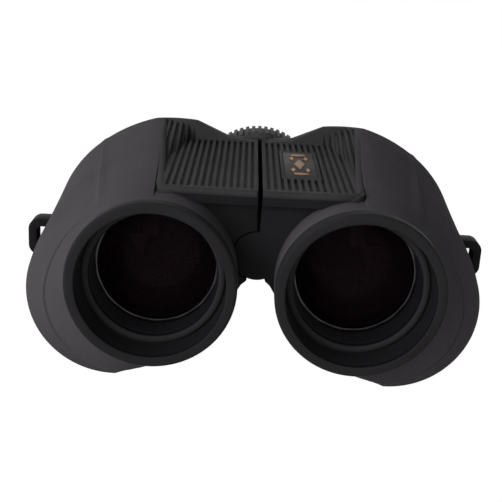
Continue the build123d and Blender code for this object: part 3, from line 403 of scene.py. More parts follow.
def round_edges(piece, width):
    bevel = piece.modifiers.new("edge rounding", "BEVEL")
    bevel.width = width
    bevel.segments = ROUNDING_STEPS
    bevel.limit_method = "ANGLE"
    bevel.angle_limit = SHARP_ANGLE
    bevel.use_clamp_overlap = True
    bevel.miter_outer = "MITER_ARC"
    apply_modifiers(piece)


def add_detail(piece, node, material):
    """Shade a piece, give it its material and let it ride with a CAD node."""
    select_only(piece)
    bpy.ops.object.shade_smooth_by_angle(angle=SMOOTH_ANGLE)
    piece.data.materials.append(material)
    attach(piece, BODY_OF[node])
    return piece


def finish_piece(piece, node, material):
    """Dress a piece and let it stand for a CAD node."""
    add_detail(piece, node, material)
    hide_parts(node)
    return piece


def stand_in(node, material, rounding, suffix):
    """Rounded, smooth-shaded piece in place of a CAD node."""
    piece = welded_copy(node, f"{node}_{suffix}")
    if rounding:
        round_edges(piece, rounding)
    return finish_piece(piece, node, material)


def paint_faces(piece, material, test):
    """Give the faces that pass a test a second material."""
    piece.data.materials.append(material)
    second = len(piece.data.materials) - 1
    for face in piece.data.polygons:
        if test(face):
            face.material_index = second


def paint_node(node, material):
    """Give a CAD node that stays as it is its material."""
    slots = frame["nodes"][node].data.materials
    slots.clear()
    slots.append(material)


def in_crease(place, sign, axis, station, reach, fade):
    """Whether a place is near the crease's station, on the outer side of a barrel."""
    near = abs(place.y - station) < reach
    outside = sign * (place.x - axis.x) > CREASE_INNER + fade
    return near and outside and place.z < axis.z + CREASE_TOP - fade


def sink_crease(piece, sign, axis, station, width, depth):
    """Sink a groove round a barrel's outer side: cuts side by side, the middle ones pushed in."""
    for share in CREASE_CUTS:
        edit_all(piece)
        bpy.ops.mesh.bisect(plane_co=(0, station + share * width, 0), plane_no=(0, 1, 0))
        bpy.ops.object.mode_set(mode="OBJECT")

    def sinks(vertex, reach, fade):
        spoke = vertex.co - axis
        spoke.y = 0
        faces_out = spoke.dot(vertex.normal) > 0
        return faces_out and in_crease(vertex.co, sign, axis, station, reach, fade)

    for share, fade in ((CREASE_SHOULDER, 0), (CREASE_BOTTOM, CREASE_FADE)):
        select_vertices(piece, lambda vertex: sinks(vertex, share * width, fade))
        bpy.ops.transform.shrink_fatten(value=-depth / 2)
        bpy.ops.object.mode_set(mode="OBJECT")


def raise_ridge(piece, sign, height, spread):
    """Draw a soft edge along a barrel: three cuts side by side, of which the middle one is raised."""
    slope = (RIDGE_REAR[1] - RIDGE_FRONT[1]) / (RIDGE_REAR[0] - RIDGE_FRONT[0])
    across = Vector((0, -slope, 1)).normalized()
    start = Vector((0, *RIDGE_FRONT))
    for step in (-1, 0, 1):
        edit_all(piece)
        bpy.ops.mesh.bisect(plane_co=start + across * spread * step, plane_no=across)
        bpy.ops.object.mode_set(mode="OBJECT")

    def on_ridge(vertex, fade):
        place = vertex.co
        outside = sign * place.x > RIDGE_INNER and sign * vertex.normal.x > RIDGE_FACING
        front = RIDGE_FRONT[0] + fade * RIDGE_FADE_IN
        rear = RIDGE_REAR[0] - fade * RIDGE_FADE_OUT
        return outside and front < place.y < rear and abs((place - start).dot(across)) < height

    for lift in range(RIDGE_LIFTS):
        fade = lift / (RIDGE_LIFTS - 1)
        select_vertices(piece, lambda vertex: on_ridge(vertex, fade))
        bpy.ops.transform.shrink_fatten(value=height / RIDGE_LIFTS)
        bpy.ops.object.mode_set(mode="OBJECT")


def drawn_bead(path, half_width, half_height):
    """Closed bead with an oval section, drawn out along a path whose first run goes forwards."""
    bpy.ops.object.select_all(action="DESELECT")
    bpy.ops.mesh.primitive_circle_add(
        vertices=BEAD_SIDES, radius=1, fill_type="NGON", location=path[0], rotation=(radians(90), 0, 0)
    )
    bead = bpy.context.object
    bead.scale = (half_width, half_height, 1)
    apply_place()
    edit_all(bead)
    heading = Vector((0, -1, 0))
    for before, here, after in zip(path, path[1:], [*path[2:], None]):
        bpy.ops.mesh.extrude_region_move(TRANSFORM_OT_translate={"value": here - before})
        ahead = (after or 2 * here - before) - before
        ahead.z = 0
        ahead.normalize()
        # With no window, a positive turn about Z is clockwise
        turn = asin(ahead.cross(heading).z)
        bpy.ops.transform.rotate(value=turn, orient_axis="Z", center_override=here)
        heading = ahead
    bpy.ops.object.mode_set(mode="OBJECT")
    close_up(bead)
    return bead


def raised_figure(corners, middle, half_size, height):
    """Low boss with a regular outline and a bevelled top, standing on a level face."""
    bpy.ops.object.select_all(action="DESELECT")
    bpy.ops.mesh.primitive_circle_add(vertices=corners, radius=1, fill_type="NGON", location=middle)
    figure = bpy.context.object
    figure.scale = (*half_size, 1)
    apply_place()
    edit_all(figure)
    bpy.ops.mesh.extrude_region_move(TRANSFORM_OT_translate={"value": (0, 0, height)})
    bpy.ops.mesh.inset(thickness=height)
    bpy.ops.transform.translate(value=(0, 0, height))
    bpy.ops.object.mode_set(mode="OBJECT")
    close_up(figure)
    return figure


def turned_ring(axis, profile):
    """Closed ring about an axis along Y, drawn out loop by loop through (y, radius) points."""
    bpy.ops.object.select_all(action="DESELECT")
    start, radius = profile[0]
    centre = Vector((axis[0], start, axis[1]))
    bpy.ops.mesh.primitive_circle_add(
        vertices=RING_SIDES, radius=radius, location=centre, rotation=(radians(90), 0, 0)
    )
    ring = bpy.context.object
    apply_place()
    edit_all(ring)
    for y, next_radius in profile[1:]:
        bpy.ops.mesh.extrude_edges_move(TRANSFORM_OT_translate={"value": (0, y - centre.y, 0)})
        centre.y = y
        grow = next_radius / radius
        bpy.ops.transform.resize(value=(grow, 1, grow), center_override=centre)
        radius = next_radius
    bpy.ops.mesh.select_mode(type="EDGE")
    bpy.ops.mesh.select_all(action="DESELECT")
    bpy.ops.mesh.select_non_manifold()
    bpy.ops.mesh.bridge_edge_loops()
    bpy.ops.object.mode_set(mode="OBJECT")
    close_up(ring)
    return ring


def recess_heads(piece, width, depth):
    """Cut a cross recess into the rear face of each screw of a group, each turned from the last."""
    edit_all(piece)
    bpy.ops.mesh.separate(type="LOOSE")
    bpy.ops.object.mode_set(mode="OBJECT")
    screws = list(bpy.context.selected_objects)
    for number, screw in enumerate(screws):
        low, high = Vector(screw.bound_box[LOWEST]), Vector(screw.bound_box[HIGHEST])
        middle = (low + high) / 2
        span = RECESS_SPAN * (high.x - low.x)
        for quarter in (0, radians(90)):
            bpy.ops.object.select_all(action="DESELECT")
            bpy.ops.mesh.primitive_cube_add(size=1, location=(middle.x, high.y, middle.z))
            blade = bpy.context.object
            blade.scale = (span, 2 * depth, width)
            blade.rotation_euler = (0, RECESS_TURN * number + quarter, 0)
            apply_place()
            edit_all(blade)
            bpy.ops.mesh.bevel(offset=RECESS_BEVEL * width, segments=ROUNDING_STEPS, affect="EDGES")
            bpy.ops.object.mode_set(mode="OBJECT")
            cut = screw.modifiers.new("cross recess", "BOOLEAN")
            cut.operation = "DIFFERENCE"
            cut.solver = "EXACT"
            cut.object = blade
            apply_modifiers(screw)
            bpy.data.objects.remove(blade, do_unlink=True)
    return join_pieces(screws, piece.name)


# Materials


def start_material(name):
    material = bpy.data.materials.new(name)
    material.use_nodes = True
    tree = material.node_tree
    return material, tree, tree.nodes["Principled BSDF"]


def set_inputs(tree, node, inputs):
    """Link a node's inputs to the sockets given for them, and set the others."""
    for key, value in inputs.items():
        if isinstance(value, bpy.types.NodeSocket):
            tree.links.new(value, node.inputs[key])
        else:
            node.inputs[key].default_value = value


def add_node(tree, kind, inputs, **settings):
    node = tree.nodes.new(kind)
    for key, value in settings.items():
        setattr(node, key, value)
    set_inputs(tree, node, inputs)
    return node


def math_node(tree, operation, first, second):
    node = add_node(tree, "ShaderNodeMath", {0: first, 1: second}, operation=operation)
    return node.outputs["Value"]


def object_place(tree):
    return add_node(tree, "ShaderNodeTexCoord", {}).outputs["Object"]


def ramp(tree, fac, low, high):
    """Colour ramp between two grey levels or colours."""
    node = add_node(tree, "ShaderNodeValToRGB", {"Fac": fac})
    for element, position, value in zip(node.color_ramp.elements, RAMP_ENDS, (low, high)):
        level = (value,) * 3 if isinstance(value, float) else tuple(value)
        element.position = position
        element.color = (*level, 1.0)
    return node.outputs["Color"]


def shaded(colour, share):
    return tuple(channel * share for channel in colour)


def noise(tree, place, size, detail):
    """Noise whose spots are about a given size across."""
    inputs = {"Vector": place, "Scale": 1 / size, "Detail": detail}
    return add_node(tree, "ShaderNodeTexNoise", inputs).outputs["Fac"]


def bump(tree, height, depth, strength=1.0, normal=None):
    inputs = {"Height": height, "Distance": depth, "Strength": strength}
    if normal:
        inputs["Normal"] = normal
    return add_node(tree, "ShaderNodeBump", inputs).outputs["Normal"]


def grained_material(name, colour, grain, depth, roughness, tone=0.14, specular=0.03):
    """Moulded rubber or plastic: a fine cellular grain, cloudy tone and uneven gloss."""
    material, tree, shader = start_material(name)
    place = object_place(tree)
    cloud = noise(tree, place, CLOUD_SIZE, detail=3.0)
    tint = ramp(tree, cloud, shaded(colour, 1 - tone), shaded(colour, 1 + tone))
    scuff = noise(tree, place, SCUFF_SIZE, detail=6.0)
    gloss = ramp(tree, scuff, roughness - GLOSS_SWING, roughness + GLOSS_SWING)
    cells = add_node(
        tree, "ShaderNodeTexVoronoi", {"Vector": place, "Scale": 1 / grain}, feature="SMOOTH_F1"
    ).outputs["Distance"]
    waver = noise(tree, place, WAVER_SIZE, detail=2.0)
    surface = {
        "Base Color": tint,
        "Roughness": gloss,
        "Normal": bump(tree, waver, depth, WAVER_SHARE, bump(tree, cells, depth)),
        "Specular IOR Level": specular,
    }
    set_inputs(tree, shader, surface)
    return material


def turned_material(
    name, colour, axis, pitch, depth, roughness, metallic=1.0, specular=0.5, edge_tint=1.0
):
    """Lathe-turned metal: fine rings about an axis that runs along Y through an (x, z) place."""
    material, tree, shader = start_material(name)
    centring = {"Vector": object_place(tree), "Location": (-axis[0], 0, -axis[1])}
    place = add_node(tree, "ShaderNodeMapping", centring).outputs["Vector"]
    wave = {
        "Vector": place,
        "Scale": WAVE_LENGTH / pitch,
        "Distortion": RING_DISTORTION,
        "Detail": 2.0,
    }
    rings = add_node(
        tree, "ShaderNodeTexWave", wave, wave_type="RINGS", rings_direction="Y"
    ).outputs["Fac"]
    tones = [shaded(colour, share) for share in RING_TONES]
    glosses = [roughness + change for change in RING_GLOSS]
    surface = {
        "Base Color": ramp(tree, rings, *tones),
        "Roughness": ramp(tree, rings, *glosses),
        "Normal": bump(tree, rings, depth),
        "Metallic": metallic,
        "Specular IOR Level": specular,
        "Specular Tint": (edge_tint, edge_tint, edge_tint, 1.0),
    }
    set_inputs(tree, shader, surface)
    return material


def glass_material(name, tint, index, coating=None, body=0.0):
    """Clear glass with faint smears; a coating colours what it throws back, a body clouds it."""
    material, tree, shader = start_material(name)
    smears = noise(tree, object_place(tree), SMEAR_SIZE, detail=5.0)
    surface = {
        "Base Color": ramp(tree, smears, shaded(tint, SMEAR_TONE), tint),
        "Roughness": ramp(tree, smears, 0.0, SMEAR_GLOSS),
        "Transmission Weight": 1 - body,
        "IOR": index,
    }
    if coating is not None:
        surface["Specular Tint"] = (*coating, 1.0)
    set_inputs(tree, shader, surface)
    return material


# The pieces


class BINOCULARS_OT_grip_pads(bpy.types.Operator):
    """Give the roof its ribbed pads and the badge its enamel and figure"""

    bl_idname = "binoculars.grip_pads"
    bl_label = "Grip pads and badge"

    def execute(self, context):
        looks = context.scene.binocular_finish
        rubber = grained_material(
            "grip rubber",
            looks.grip_colour,
            grain=0.2 * MM,
            depth=0.01 * MM,
            roughness=0.6,
            specular=0.008,
        )
        enamel = grained_material(
            "badge enamel", looks.enamel_colour, grain=0.5 * MM, depth=0.003 * MM, roughness=0.45
        )
        copper = turned_material(
            "badge copper",
            looks.copper_colour,
            axis=(0, 0),
            pitch=0.754 * MM,
            depth=0.003 * MM,
            roughness=0.38,
            edge_tint=0.6,
        )
        for side, sign in SIDES.items():
            stand_in(f"{side}_grip_pad", rubber, looks.rib_round, "ribs")
            self.line_shoulder(side, sign, rubber, looks)
        stand_in("badge", enamel, looks.rib_round, "plate")
        figures = list(self.figures(looks.motif_height))
        add_detail(join_pieces(figures, "badge_figure"), "badge", copper)
        return {"FINISHED"}

    def line_shoulder(self, side, sign, rubber, looks):
        """Ribs that carry a pad up to the crest of its shoulder, in step with the pad's own."""
        half = looks.rib_pitch / 2
        strips = []
        for step in range(STRIPS):
            x = FIRST_STRIP + step * half
            foot = max(FOOT_FRONT, FOOT_REAR - (x - FIRST_STRIP) * FOOT_SLANT)
            if step % 2:
                strip = self.strip(sign * x, RIB_SHARE * half, foot, 0)
            else:
                strip = self.strip(sign * x, VALLEY_SHARE * half, foot, -looks.rib_height)
            round_edges(strip, looks.rib_round)
            strips.append(strip)
        add_detail(join_pieces(strips, f"{side}_shoulder_ribs"), f"{side}_grip_pad", rubber)

    def strip(self, x, width, foot, lift):
        """Closed strip whose top climbs from the pad at its foot to the crest of the shoulder."""
        crest_y, crest_z = CREST
        top = PAD_TOP + lift
        middle = Vector((x, (foot + crest_y) / 2, (PAD_LOW.z + top) / 2))
        bpy.ops.object.select_all(action="DESELECT")
        bpy.ops.mesh.primitive_cube_add(size=1, location=middle)
        strip = bpy.context.object
        strip.scale = (width, crest_y - foot, top - PAD_LOW.z)
        apply_place()
        select_vertices(strip, lambda vertex: vertex.co.y > middle.y and vertex.co.z > middle.z)
        bpy.ops.transform.translate(value=(0, 0, crest_z - PAD_TOP))
        bpy.ops.object.mode_set(mode="OBJECT")
        close_up(strip)
        return strip

    def figures(self, height):
        """A long lozenge, four small ones about it and a bar at each end."""
        low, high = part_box("badge")
        half = (high - low) / 2
        middle = Vector((low.x + half.x, low.y + half.y, high.z))

        def figure(corners, share, across, ahead):
            place = middle + Vector((across * half.x, ahead * half.y, 0))
            return raised_figure(corners, place, (share[0] * half.x, share[1] * half.y), height)

        yield figure(4, LOZENGE, 0, 0)
        for across in (-SMALL_LOZENGE_PLACE[0], SMALL_LOZENGE_PLACE[0]):
            for ahead in (-SMALL_LOZENGE_PLACE[1], SMALL_LOZENGE_PLACE[1]):
                yield figure(4, SMALL_LOZENGE, across, ahead)
        for ahead in (-BAR_PLACE, BAR_PLACE):
            yield figure(6, BAR, 0, ahead)


class BINOCULARS_OT_armour(bpy.types.Operator):
    """Dress both halves in their rubber skin, with shade painted into the crease, and the beads round
    the pads
    """

    bl_idname = "binoculars.armour"
    bl_label = "Rubber armour"

    def execute(self, context):
        looks = context.scene.binocular_finish
        rubber = grained_material(
            "armour rubber",
            looks.armour_colour,
            grain=looks.grain,
            depth=0.02 * MM,
            roughness=0.78,
            tone=0.07,
            specular=0.004,
        )
        # Painted shade: a darker copy of the armour rubber for the floor of the crease
        groove = grained_material(
            "crease floor",
            shaded(looks.armour_colour, CREASE_SHADE_TONE),
            grain=looks.grain,
            depth=0.01 * MM,
            roughness=0.8,
            tone=0.07,
            specular=0.004,
        )
        trim = grained_material(
            "bead rubber",
            shaded(looks.grip_colour, BEAD_TONE),
            grain=looks.grain,
            depth=0.01 * MM,
            roughness=0.6,
            specular=0.008,
        )
        for side, sign in SIDES.items():
            node = f"{side}_armour"
            skin = welded_copy(node, f"{node}_skin")
            round_edges(skin, looks.armour_round)
            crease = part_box(node)[0].y + CREASE_BEHIND_RIM
            axis = middle_of(f"{side}_objective_bezel")
            sink_crease(skin, sign, axis, crease, looks.crease_width, looks.crease_depth)
            raise_ridge(skin, sign, looks.ridge_height, looks.ridge_spread)
            finish_piece(skin, node, rubber)
            # Paint shade along the crease: the faces near its floor get the darker rubber
            reach = CREASE_SHADE_REACH * looks.crease_width
            paint_faces(
                skin,
                groove,
                lambda face: in_crease(face.center, sign, axis, crease, reach, CREASE_FADE),
            )
            path = [Vector((sign * x, y, z - looks.bead_height)) for x, y, z in BEAD_TOP]
            bead = drawn_bead(path, looks.bead_width, looks.bead_height)
            add_detail(bead, node, trim).name = f"{side}_pad_bead"
        return {"FINISHED"}


class BINOCULARS_OT_housings(bpy.types.Operator):
    """Finish the moulded housings, strap lugs, rear covers and their screws"""

    bl_idname = "binoculars.housings"
    bl_label = "Housings and covers"

    def execute(self, context):
        looks = context.scene.binocular_finish
        shell = grained_material(
            "moulded shell", looks.shell_colour, grain=0.16 * MM, depth=0.008 * MM, roughness=0.5
        )
        steel = grained_material(
            "blackened steel", looks.metal_black, grain=0.3 * MM, depth=0.003 * MM, roughness=0.38
        )
        for side in SIDES:
            for piece in ("housing", "strap_lug", "rear_cover"):
                stand_in(f"{side}_{piece}", shell, looks.shell_round, "shell")
            node = f"{side}_cover_screws"
            heads = welded_copy(node, f"{node}_heads")
            heads = recess_heads(heads, looks.recess_width, looks.recess_depth)
            finish_piece(heads, node, steel)
        return {"FINISHED"}


class BINOCULARS_OT_objectives(bpy.types.Operator):
    """Finish the front rims, cells, lock rings and lenses"""

    bl_idname = "binoculars.objectives"
    bl_label = "Objectives"

    def execute(self, context):
        looks = context.scene.binocular_finish
        rim = grained_material(
            "front rim",
            looks.rim_colour,
            grain=0.14 * MM,
            depth=0.006 * MM,
            roughness=0.5,
            specular=0.015,
        )
        # Painted highlight: a lighter copy of the rim material for the cell lip
        lip = grained_material(
            "cell lip",
            shaded(looks.rim_colour, LIP_HIGHLIGHT_TONE),
            grain=0.14 * MM,
            depth=0.004 * MM,
            roughness=0.5,
            specular=0.015,
        )
        coated = glass_material(
            "coated front lens",
            looks.front_glass,
            index=1.12,
            coating=looks.front_coating,
            body=0.02,
        )
        clear = glass_material("clear rear lens", looks.flint_glass, index=1.02)
        for side in SIDES:
            axis = middle_of(f"{side}_objective_bezel")
            place = (axis.x, axis.z)
            cell = turned_material(
                f"{side} cell",
                looks.metal_black,
                axis=place,
                pitch=2.2 * MM,
                depth=0.02 * MM,
                roughness=0.6,
                metallic=0.0,
                specular=0.05,
            )
            ring = turned_material(
                f"{side} lock ring",
                looks.lock_colour,
                axis=place,
                pitch=1.257 * MM,
                depth=0.004 * MM,
                roughness=0.38,
                edge_tint=0.5,
            )
            front = stand_in(f"{side}_objective_bezel", rim, 0, "rim")
            paint_faces(front, cell, lambda face: self.faces_axis(face, axis))
            stand_in(f"{side}_objective_cell", cell, looks.rib_round, "baffle")
            stand_in(f"{side}_objective_lock_ring", ring, looks.rib_round, "turned")
            stand_in(f"{side}_objective_crown", coated, 0, "lens")
            stand_in(f"{side}_objective_flint", clear, 0, "lens")
            self.add_baffles(side, place, cell, looks)
            self.add_lip(side, place, lip, looks.lip_height)
        return {"FINISHED"}

    def faces_axis(self, face, axis):
        """Whether a face looks at the barrel's axis, as the wall of a bore does."""
        inward = axis - face.center
        inward.y = 0
        return face.normal.dot(inward.normalized()) > BORE_FACING

    def add_baffles(self, side, place, material, looks):
        """Saw-tooth rings on the wall of the cell, between its mouth and the lock ring."""
        node = f"{side}_objective_cell"
        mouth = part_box(node)[0].y
        lock_low, lock_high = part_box(f"{side}_objective_lock_ring")
        wall = (lock_high.x - lock_low.x) / 2
        count = int((lock_low.y - mouth) / looks.baffle_pitch) - 1
        first = lock_low.y - (count + BAFFLE_GAP) * looks.baffle_pitch
        profile = [(first, wall)]
        for step in range(count):
            tooth = first + step * looks.baffle_pitch
            profile.append((tooth + BAFFLE_RISE * looks.baffle_pitch, wall - looks.baffle_depth))
            profile.append((tooth + looks.baffle_pitch, wall))
        outside = wall + BAFFLE_ROOT * looks.baffle_depth
        profile.append((profile[-1][0], outside))
        profile.append((first, outside))
        add_detail(turned_ring(place, profile), node, material).name = f"{side}_objective_baffles"

    def add_lip(self, side, place, material, height):
        """Rounded lip round the mouth of the cell, where it catches the light; its material is the rim
        colour made lighter, a painted highlight.
        """
        node = f"{side}_objective_cell"
        low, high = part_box(node)
        lock_low, lock_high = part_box(f"{side}_objective_lock_ring")
        outer = (high.x - low.x) / 2
        inner = (lock_high.x - lock_low.x) / 2
        middle, half = (outer + inner) / 2, (outer - inner) / 2
        turns = [radians(180) * step / LIP_STEPS for step in range(LIP_STEPS + 1)]
        profile = [(low.y - height * sin(turn), middle - half * cos(turn)) for turn in turns]
        add_detail(turned_ring(place, profile), node, material).name = f"{side}_objective_lip"


class BINOCULARS_OT_focus_drive(bpy.types.Operator):
    """Finish the focus wheel, its screw and nut, the bridge and the hinge"""

    bl_idname = "binoculars.focus_drive"
    bl_label = "Focus drive and hinge"

    def execute(self, context):
        looks = context.scene.binocular_finish
        tyre = grained_material(
            "wheel rubber", looks.wheel_colour, grain=0.2 * MM, depth=0.008 * MM, roughness=0.52
        )
        plastic = grained_material(
            "wheel core", looks.rim_colour, grain=0.16 * MM, depth=0.006 * MM, roughness=0.45
        )
        bridge = grained_material(
            "bridge paint", looks.shell_colour, grain=0.2 * MM, depth=0.005 * MM, roughness=0.42
        )
        axis = middle_of("hinge_shaft")
        place = (axis.x, axis.z)
        brass = turned_material(
            "screw brass",
            looks.brass_colour,
            axis=place,
            pitch=1.57 * MM,
            depth=0.006 * MM,
            roughness=0.3,
        )
        steel = turned_material(
            "ground steel",
            looks.steel_colour,
            axis=place,
            pitch=1.257 * MM,
            depth=0.003 * MM,
            roughness=0.28,
        )
        stand_in("focus_wheel_grip", tyre, looks.ridge_round, "ridges")
        stand_in("focus_wheel_hub", plastic, looks.shell_round, "core")
        for node in ("focus_screw", "focus_nut"):
            stand_in(node, brass, looks.rib_round, "turned")
        for node in ("left_bridge_arm", "right_bridge_arm", "bridge_cap"):
            stand_in(node, bridge, looks.shell_round, "painted")
        for node in ("hinge_shaft", "hinge_washers", "shaft_end_screw"):
            stand_in(node, steel, looks.rib_round, "ground")
        return {"FINISHED"}


class BINOCULARS_OT_eyepieces(bpy.types.Operator):
    """Finish the eyepieces, their ribbed rings and the eyecups"""

    bl_idname = "binoculars.eyepieces"
    bl_label = "Eyepieces"

    def execute(self, context):
        looks = context.scene.binocular_finish
        cup = grained_material(
            "eyecup rubber",
            shaded(looks.grip_colour, CUP_TONE),
            grain=0.25 * MM,
            depth=0.012 * MM,
            roughness=0.58,
        )
        ring = grained_material(
            "ring plastic", looks.rim_colour, grain=0.16 * MM, depth=0.006 * MM, roughness=0.45
        )
        black = grained_material(
            "flat black", looks.metal_black, grain=0.15 * MM, depth=0.004 * MM, roughness=0.6
        )
        paint = grained_material(
            "marking paint", looks.marking_colour, grain=0.2 * MM, depth=0.002 * MM, roughness=0.5
        )
        coated = glass_material(
            "coated eye lens", looks.eye_glass, index=1.2, coating=looks.eye_coating
        )
        for side in SIDES:
            stand_in(f"{side}_eyecup", cup, looks.rib_round, "rubber")
            stand_in(f"{side}_eyepiece_sleeve", black, looks.rib_round, "tube")
            stand_in(f"{side}_ocular_barrel", black, looks.rib_round, "tube")
            stand_in(f"{side}_ocular_rings", black, looks.rib_round, "turned")
            stand_in(f"{side}_eye_lens", coated, 0, "lens")
            stand_in(f"{side}_field_lens", coated, 0, "lens")
        for node in ("left_ocular_collar", "diopter_ring"):
            stand_in(node, ring, looks.rib_round, "ribs")
        self.mark_diopter(paint, looks)
        return {"FINISHED"}

    def mark_diopter(self, paint, looks):
        """Ticks on the right sleeve's flange and a dot on the ring that turns against them."""
        low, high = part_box("right_eyepiece_sleeve")
        centre = Vector(((low.x + high.x) / 2, 0, (low.z + high.z) / 2))
        flange = (high.x - low.x) / 2
        y = high.y - MARK_INSET * looks.mark_length
        rise = MARK_RISE * looks.mark_width
        ticks = []
        for step in range(-MARKS_EACH_WAY, MARKS_EACH_WAY + 1):
            length = looks.mark_length * (1 if step else ZERO_MARK)
            size = (looks.mark_width, length, rise)
            ticks.append(self.mark(centre, flange, y, size, step * MARK_STEP))
        add_detail(join_pieces(ticks, "diopter_ticks"), "right_eyepiece_sleeve", paint)
        ring_low, ring_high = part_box("diopter_ring")
        radius = (ring_high.x - ring_low.x) / 2
        size = (DOT_SPAN * looks.mark_width, DOT_SPAN * looks.mark_width, rise)
        dot = self.mark(centre, radius, middle_of("diopter_ring").y, size, 0)
        add_detail(dot, "diopter_ring", paint).name = "diopter_dot"

    def mark(self, centre, radius, y, size, angle):
        """Low painted pad on a round face, turned about the eyepiece's axis."""
        bpy.ops.object.select_all(action="DESELECT")
        bpy.ops.mesh.primitive_cube_add(size=1)
        pad = bpy.context.object
        pad.scale = size
        apply_place()
        edit_all(pad)
        bpy.ops.mesh.bevel(offset=MARK_BEVEL * size[2], segments=ROUNDING_STEPS, affect="EDGES")
        bpy.ops.object.mode_set(mode="OBJECT")
        pad.location = centre + Vector((radius * sin(angle), y, radius * cos(angle)))
        pad.rotation_euler = (0, angle, 0)
        close_up(pad)
        return pad


class BINOCULARS_OT_inner_optics(bpy.types.Operator):
    """Finish the prisms and what holds them inside the housings"""

    bl_idname = "binoculars.inner_optics"
    bl_label = "Inner optics"

    def execute(self, context):
        looks = context.scene.binocular_finish
        glass = glass_material("prism glass", looks.prism_glass, index=1.52)
        black = grained_material(
            "shelf black", looks.metal_black, grain=0.2 * MM, depth=0.004 * MM, roughness=0.6
        )
        spring = grained_material(
            "spring strip", looks.spring_colour, grain=0.4 * MM, depth=0.002 * MM, roughness=0.3
        )
        for side in SIDES:
            paint_node(f"{side}_front_prism", glass)
            paint_node(f"{side}_rear_prism", glass)
            paint_node(f"{side}_prism_shelf", black)
            paint_node(f"{side}_prism_clips", spring)
        return {"FINISHED"}


# The studio


def seen_directly(tree):
    """1 for camera, glossy and transmission rays, 0 for the rest."""
    path = add_node(tree, "ShaderNodeLightPath", {}).outputs
    seen = math_node(tree, "MAXIMUM", path["Is Camera Ray"], path["Is Glossy Ray"])
    return math_node(tree, "MAXIMUM", seen, path["Is Transmission Ray"])


def floor_material():
    """Pale floor that reads white to the eye and still keeps a faint shadow."""
    material, tree, shader = start_material("pale floor")
    speck = noise(tree, object_place(tree), FLOOR_SPECK, detail=2.0)
    surface = {
        "Base Color": ramp(tree, speck, *FLOOR_TONES),
        "Roughness": FLOOR_ROUGHNESS,
        "Specular IOR Level": 0.0,
    }
    set_inputs(tree, shader, surface)
    white = add_node(tree, "ShaderNodeEmission", {"Color": WHITE, "Strength": FLOOR_GLOW})
    share = math_node(tree, "MULTIPLY", seen_directly(tree), FLOOR_GLOW_SHARE)
    layers = {0: share, 1: shader.outputs["BSDF"], 2: white.outputs["Emission"]}
    mixed = add_node(tree, "ShaderNodeMixShader", layers).outputs["Shader"]
    set_inputs(tree, tree.nodes["Material Output"], {"Surface": mixed})
    return material


def make_floor(settings):
    bpy.ops.object.select_all(action="DESELECT")
    bpy.ops.mesh.primitive_plane_add(size=settings.floor_size, location=(0, 0, 0))
    floor = bpy.context.object
    floor.name = "floor"
    floor.data.materials.append(floor_material())


def make_world(settings):
    """White to the eye, and only a faint even light on the pieces."""
    world = bpy.data.worlds.new("studio")
    bpy.context.scene.world = world
    world.use_nodes = True
    tree = world.node_tree
    levels = {"Value": seen_directly(tree), "To Min": settings.sky, "To Max": 1.0}
    strength = add_node(tree, "ShaderNodeMapRange", levels).outputs["Result"]
    set_inputs(tree, tree.nodes["Background"], {"Color": WHITE, "Strength": strength})


def make_lamp(name, power, size, place):
    bpy.ops.object.light_add(type="AREA", location=place)
    lamp = bpy.context.object
    lamp.name = name
    lamp.data.energy = power
    lamp.data.size = size
    lamp.visible_glossy = False
    aim = Vector(LAMP_TARGET) - Vector(place)
    lamp.rotation_euler = aim.to_track_quat("-Z", "Y").to_euler()


def make_camera(settings):
    bpy.ops.object.camera_add()
    camera = bpy.context.object
    camera.name = "camera"
    place = Vector(settings.camera_place)
    ahead = (Vector(settings.camera_target) - place).normalized()
    right = ahead.cross(Vector((0, 0, 1))).normalized()
    up = right.cross(ahead)
    lean_cos, lean_sin = cos(settings.camera_roll), sin(settings.camera_roll)
    across = lean_cos * right + lean_sin * up
    upward = lean_cos * up - lean_sin * right
    turn = Matrix((across, upward, -ahead)).transposed().to_4x4()
    camera.matrix_world = Matrix.Translation(place) @ turn
    camera.data.sensor_width = SENSOR_WIDTH
    camera.data.lens = settings.camera_lens
    camera.data.clip_start = CLIP_START
    bpy.context.scene.camera = camera


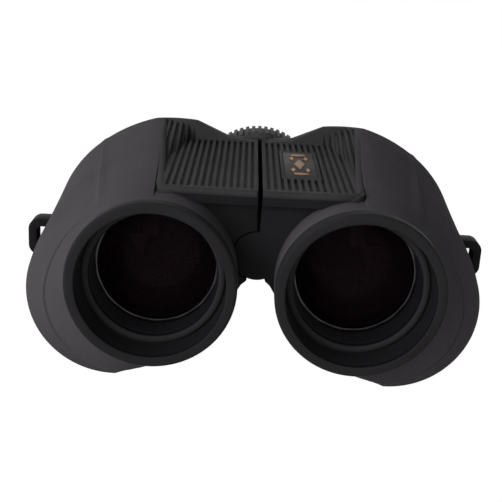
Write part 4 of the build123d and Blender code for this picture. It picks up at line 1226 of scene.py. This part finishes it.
class BINOCULARS_OT_stage(bpy.types.Operator):
    """Set the floor, lamps, world and camera"""

    bl_idname = "binoculars.stage"
    bl_label = "Studio"

    def execute(self, context):
        settings = context.scene.binocular_stage
        make_floor(settings)
        make_world(settings)
        for name, place in LAMP_PLACES.items():
            power = getattr(settings, f"{name}_power")
            make_lamp(f"{name} lamp", power, settings.lamp_size, place)
        make_camera(settings)
        context.scene.view_settings.view_transform = "Standard"
        return {"FINISHED"}


PIECES = (
    BINOCULARS_OT_grip_pads,
    BINOCULARS_OT_armour,
    BINOCULARS_OT_housings,
    BINOCULARS_OT_objectives,
    BINOCULARS_OT_focus_drive,
    BINOCULARS_OT_eyepieces,
    BINOCULARS_OT_inner_optics,
    BINOCULARS_OT_stage,
)


class BINOCULARS_PT_panel(bpy.types.Panel):
    """Lists the settings and the pieces of the binoculars"""

    bl_label = "Binoculars"
    bl_idname = "BINOCULARS_PT_panel"
    bl_space_type = "VIEW_3D"
    bl_region_type = "UI"
    bl_category = "Binoculars"

    def draw(self, context):
        for group in (context.scene.binocular_finish, context.scene.binocular_stage):
            box = self.layout.box()
            for name in group.__annotations__:
                box.prop(group, name)
        for piece in PIECES:
            self.layout.operator(piece.bl_idname)


CLASSES = (BinocularFinish, BinocularStage, *PIECES, BINOCULARS_PT_panel)


def register():
    for cls in CLASSES:
        bpy.utils.register_class(cls)
    bpy.types.Scene.binocular_finish = PointerProperty(type=BinocularFinish)
    bpy.types.Scene.binocular_stage = PointerProperty(type=BinocularStage)


def unregister():
    del bpy.types.Scene.binocular_stage
    del bpy.types.Scene.binocular_finish
    for cls in reversed(CLASSES):
        bpy.utils.unregister_class(cls)


def main():
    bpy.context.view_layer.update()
    register()
    bpy.ops.binoculars.grip_pads()
    bpy.ops.binoculars.armour()
    bpy.ops.binoculars.housings()
    bpy.ops.binoculars.objectives()
    bpy.ops.binoculars.focus_drive()
    bpy.ops.binoculars.eyepieces()
    bpy.ops.binoculars.inner_optics()
    bpy.ops.binoculars.stage()


if __name__ == "__main__":
    main()
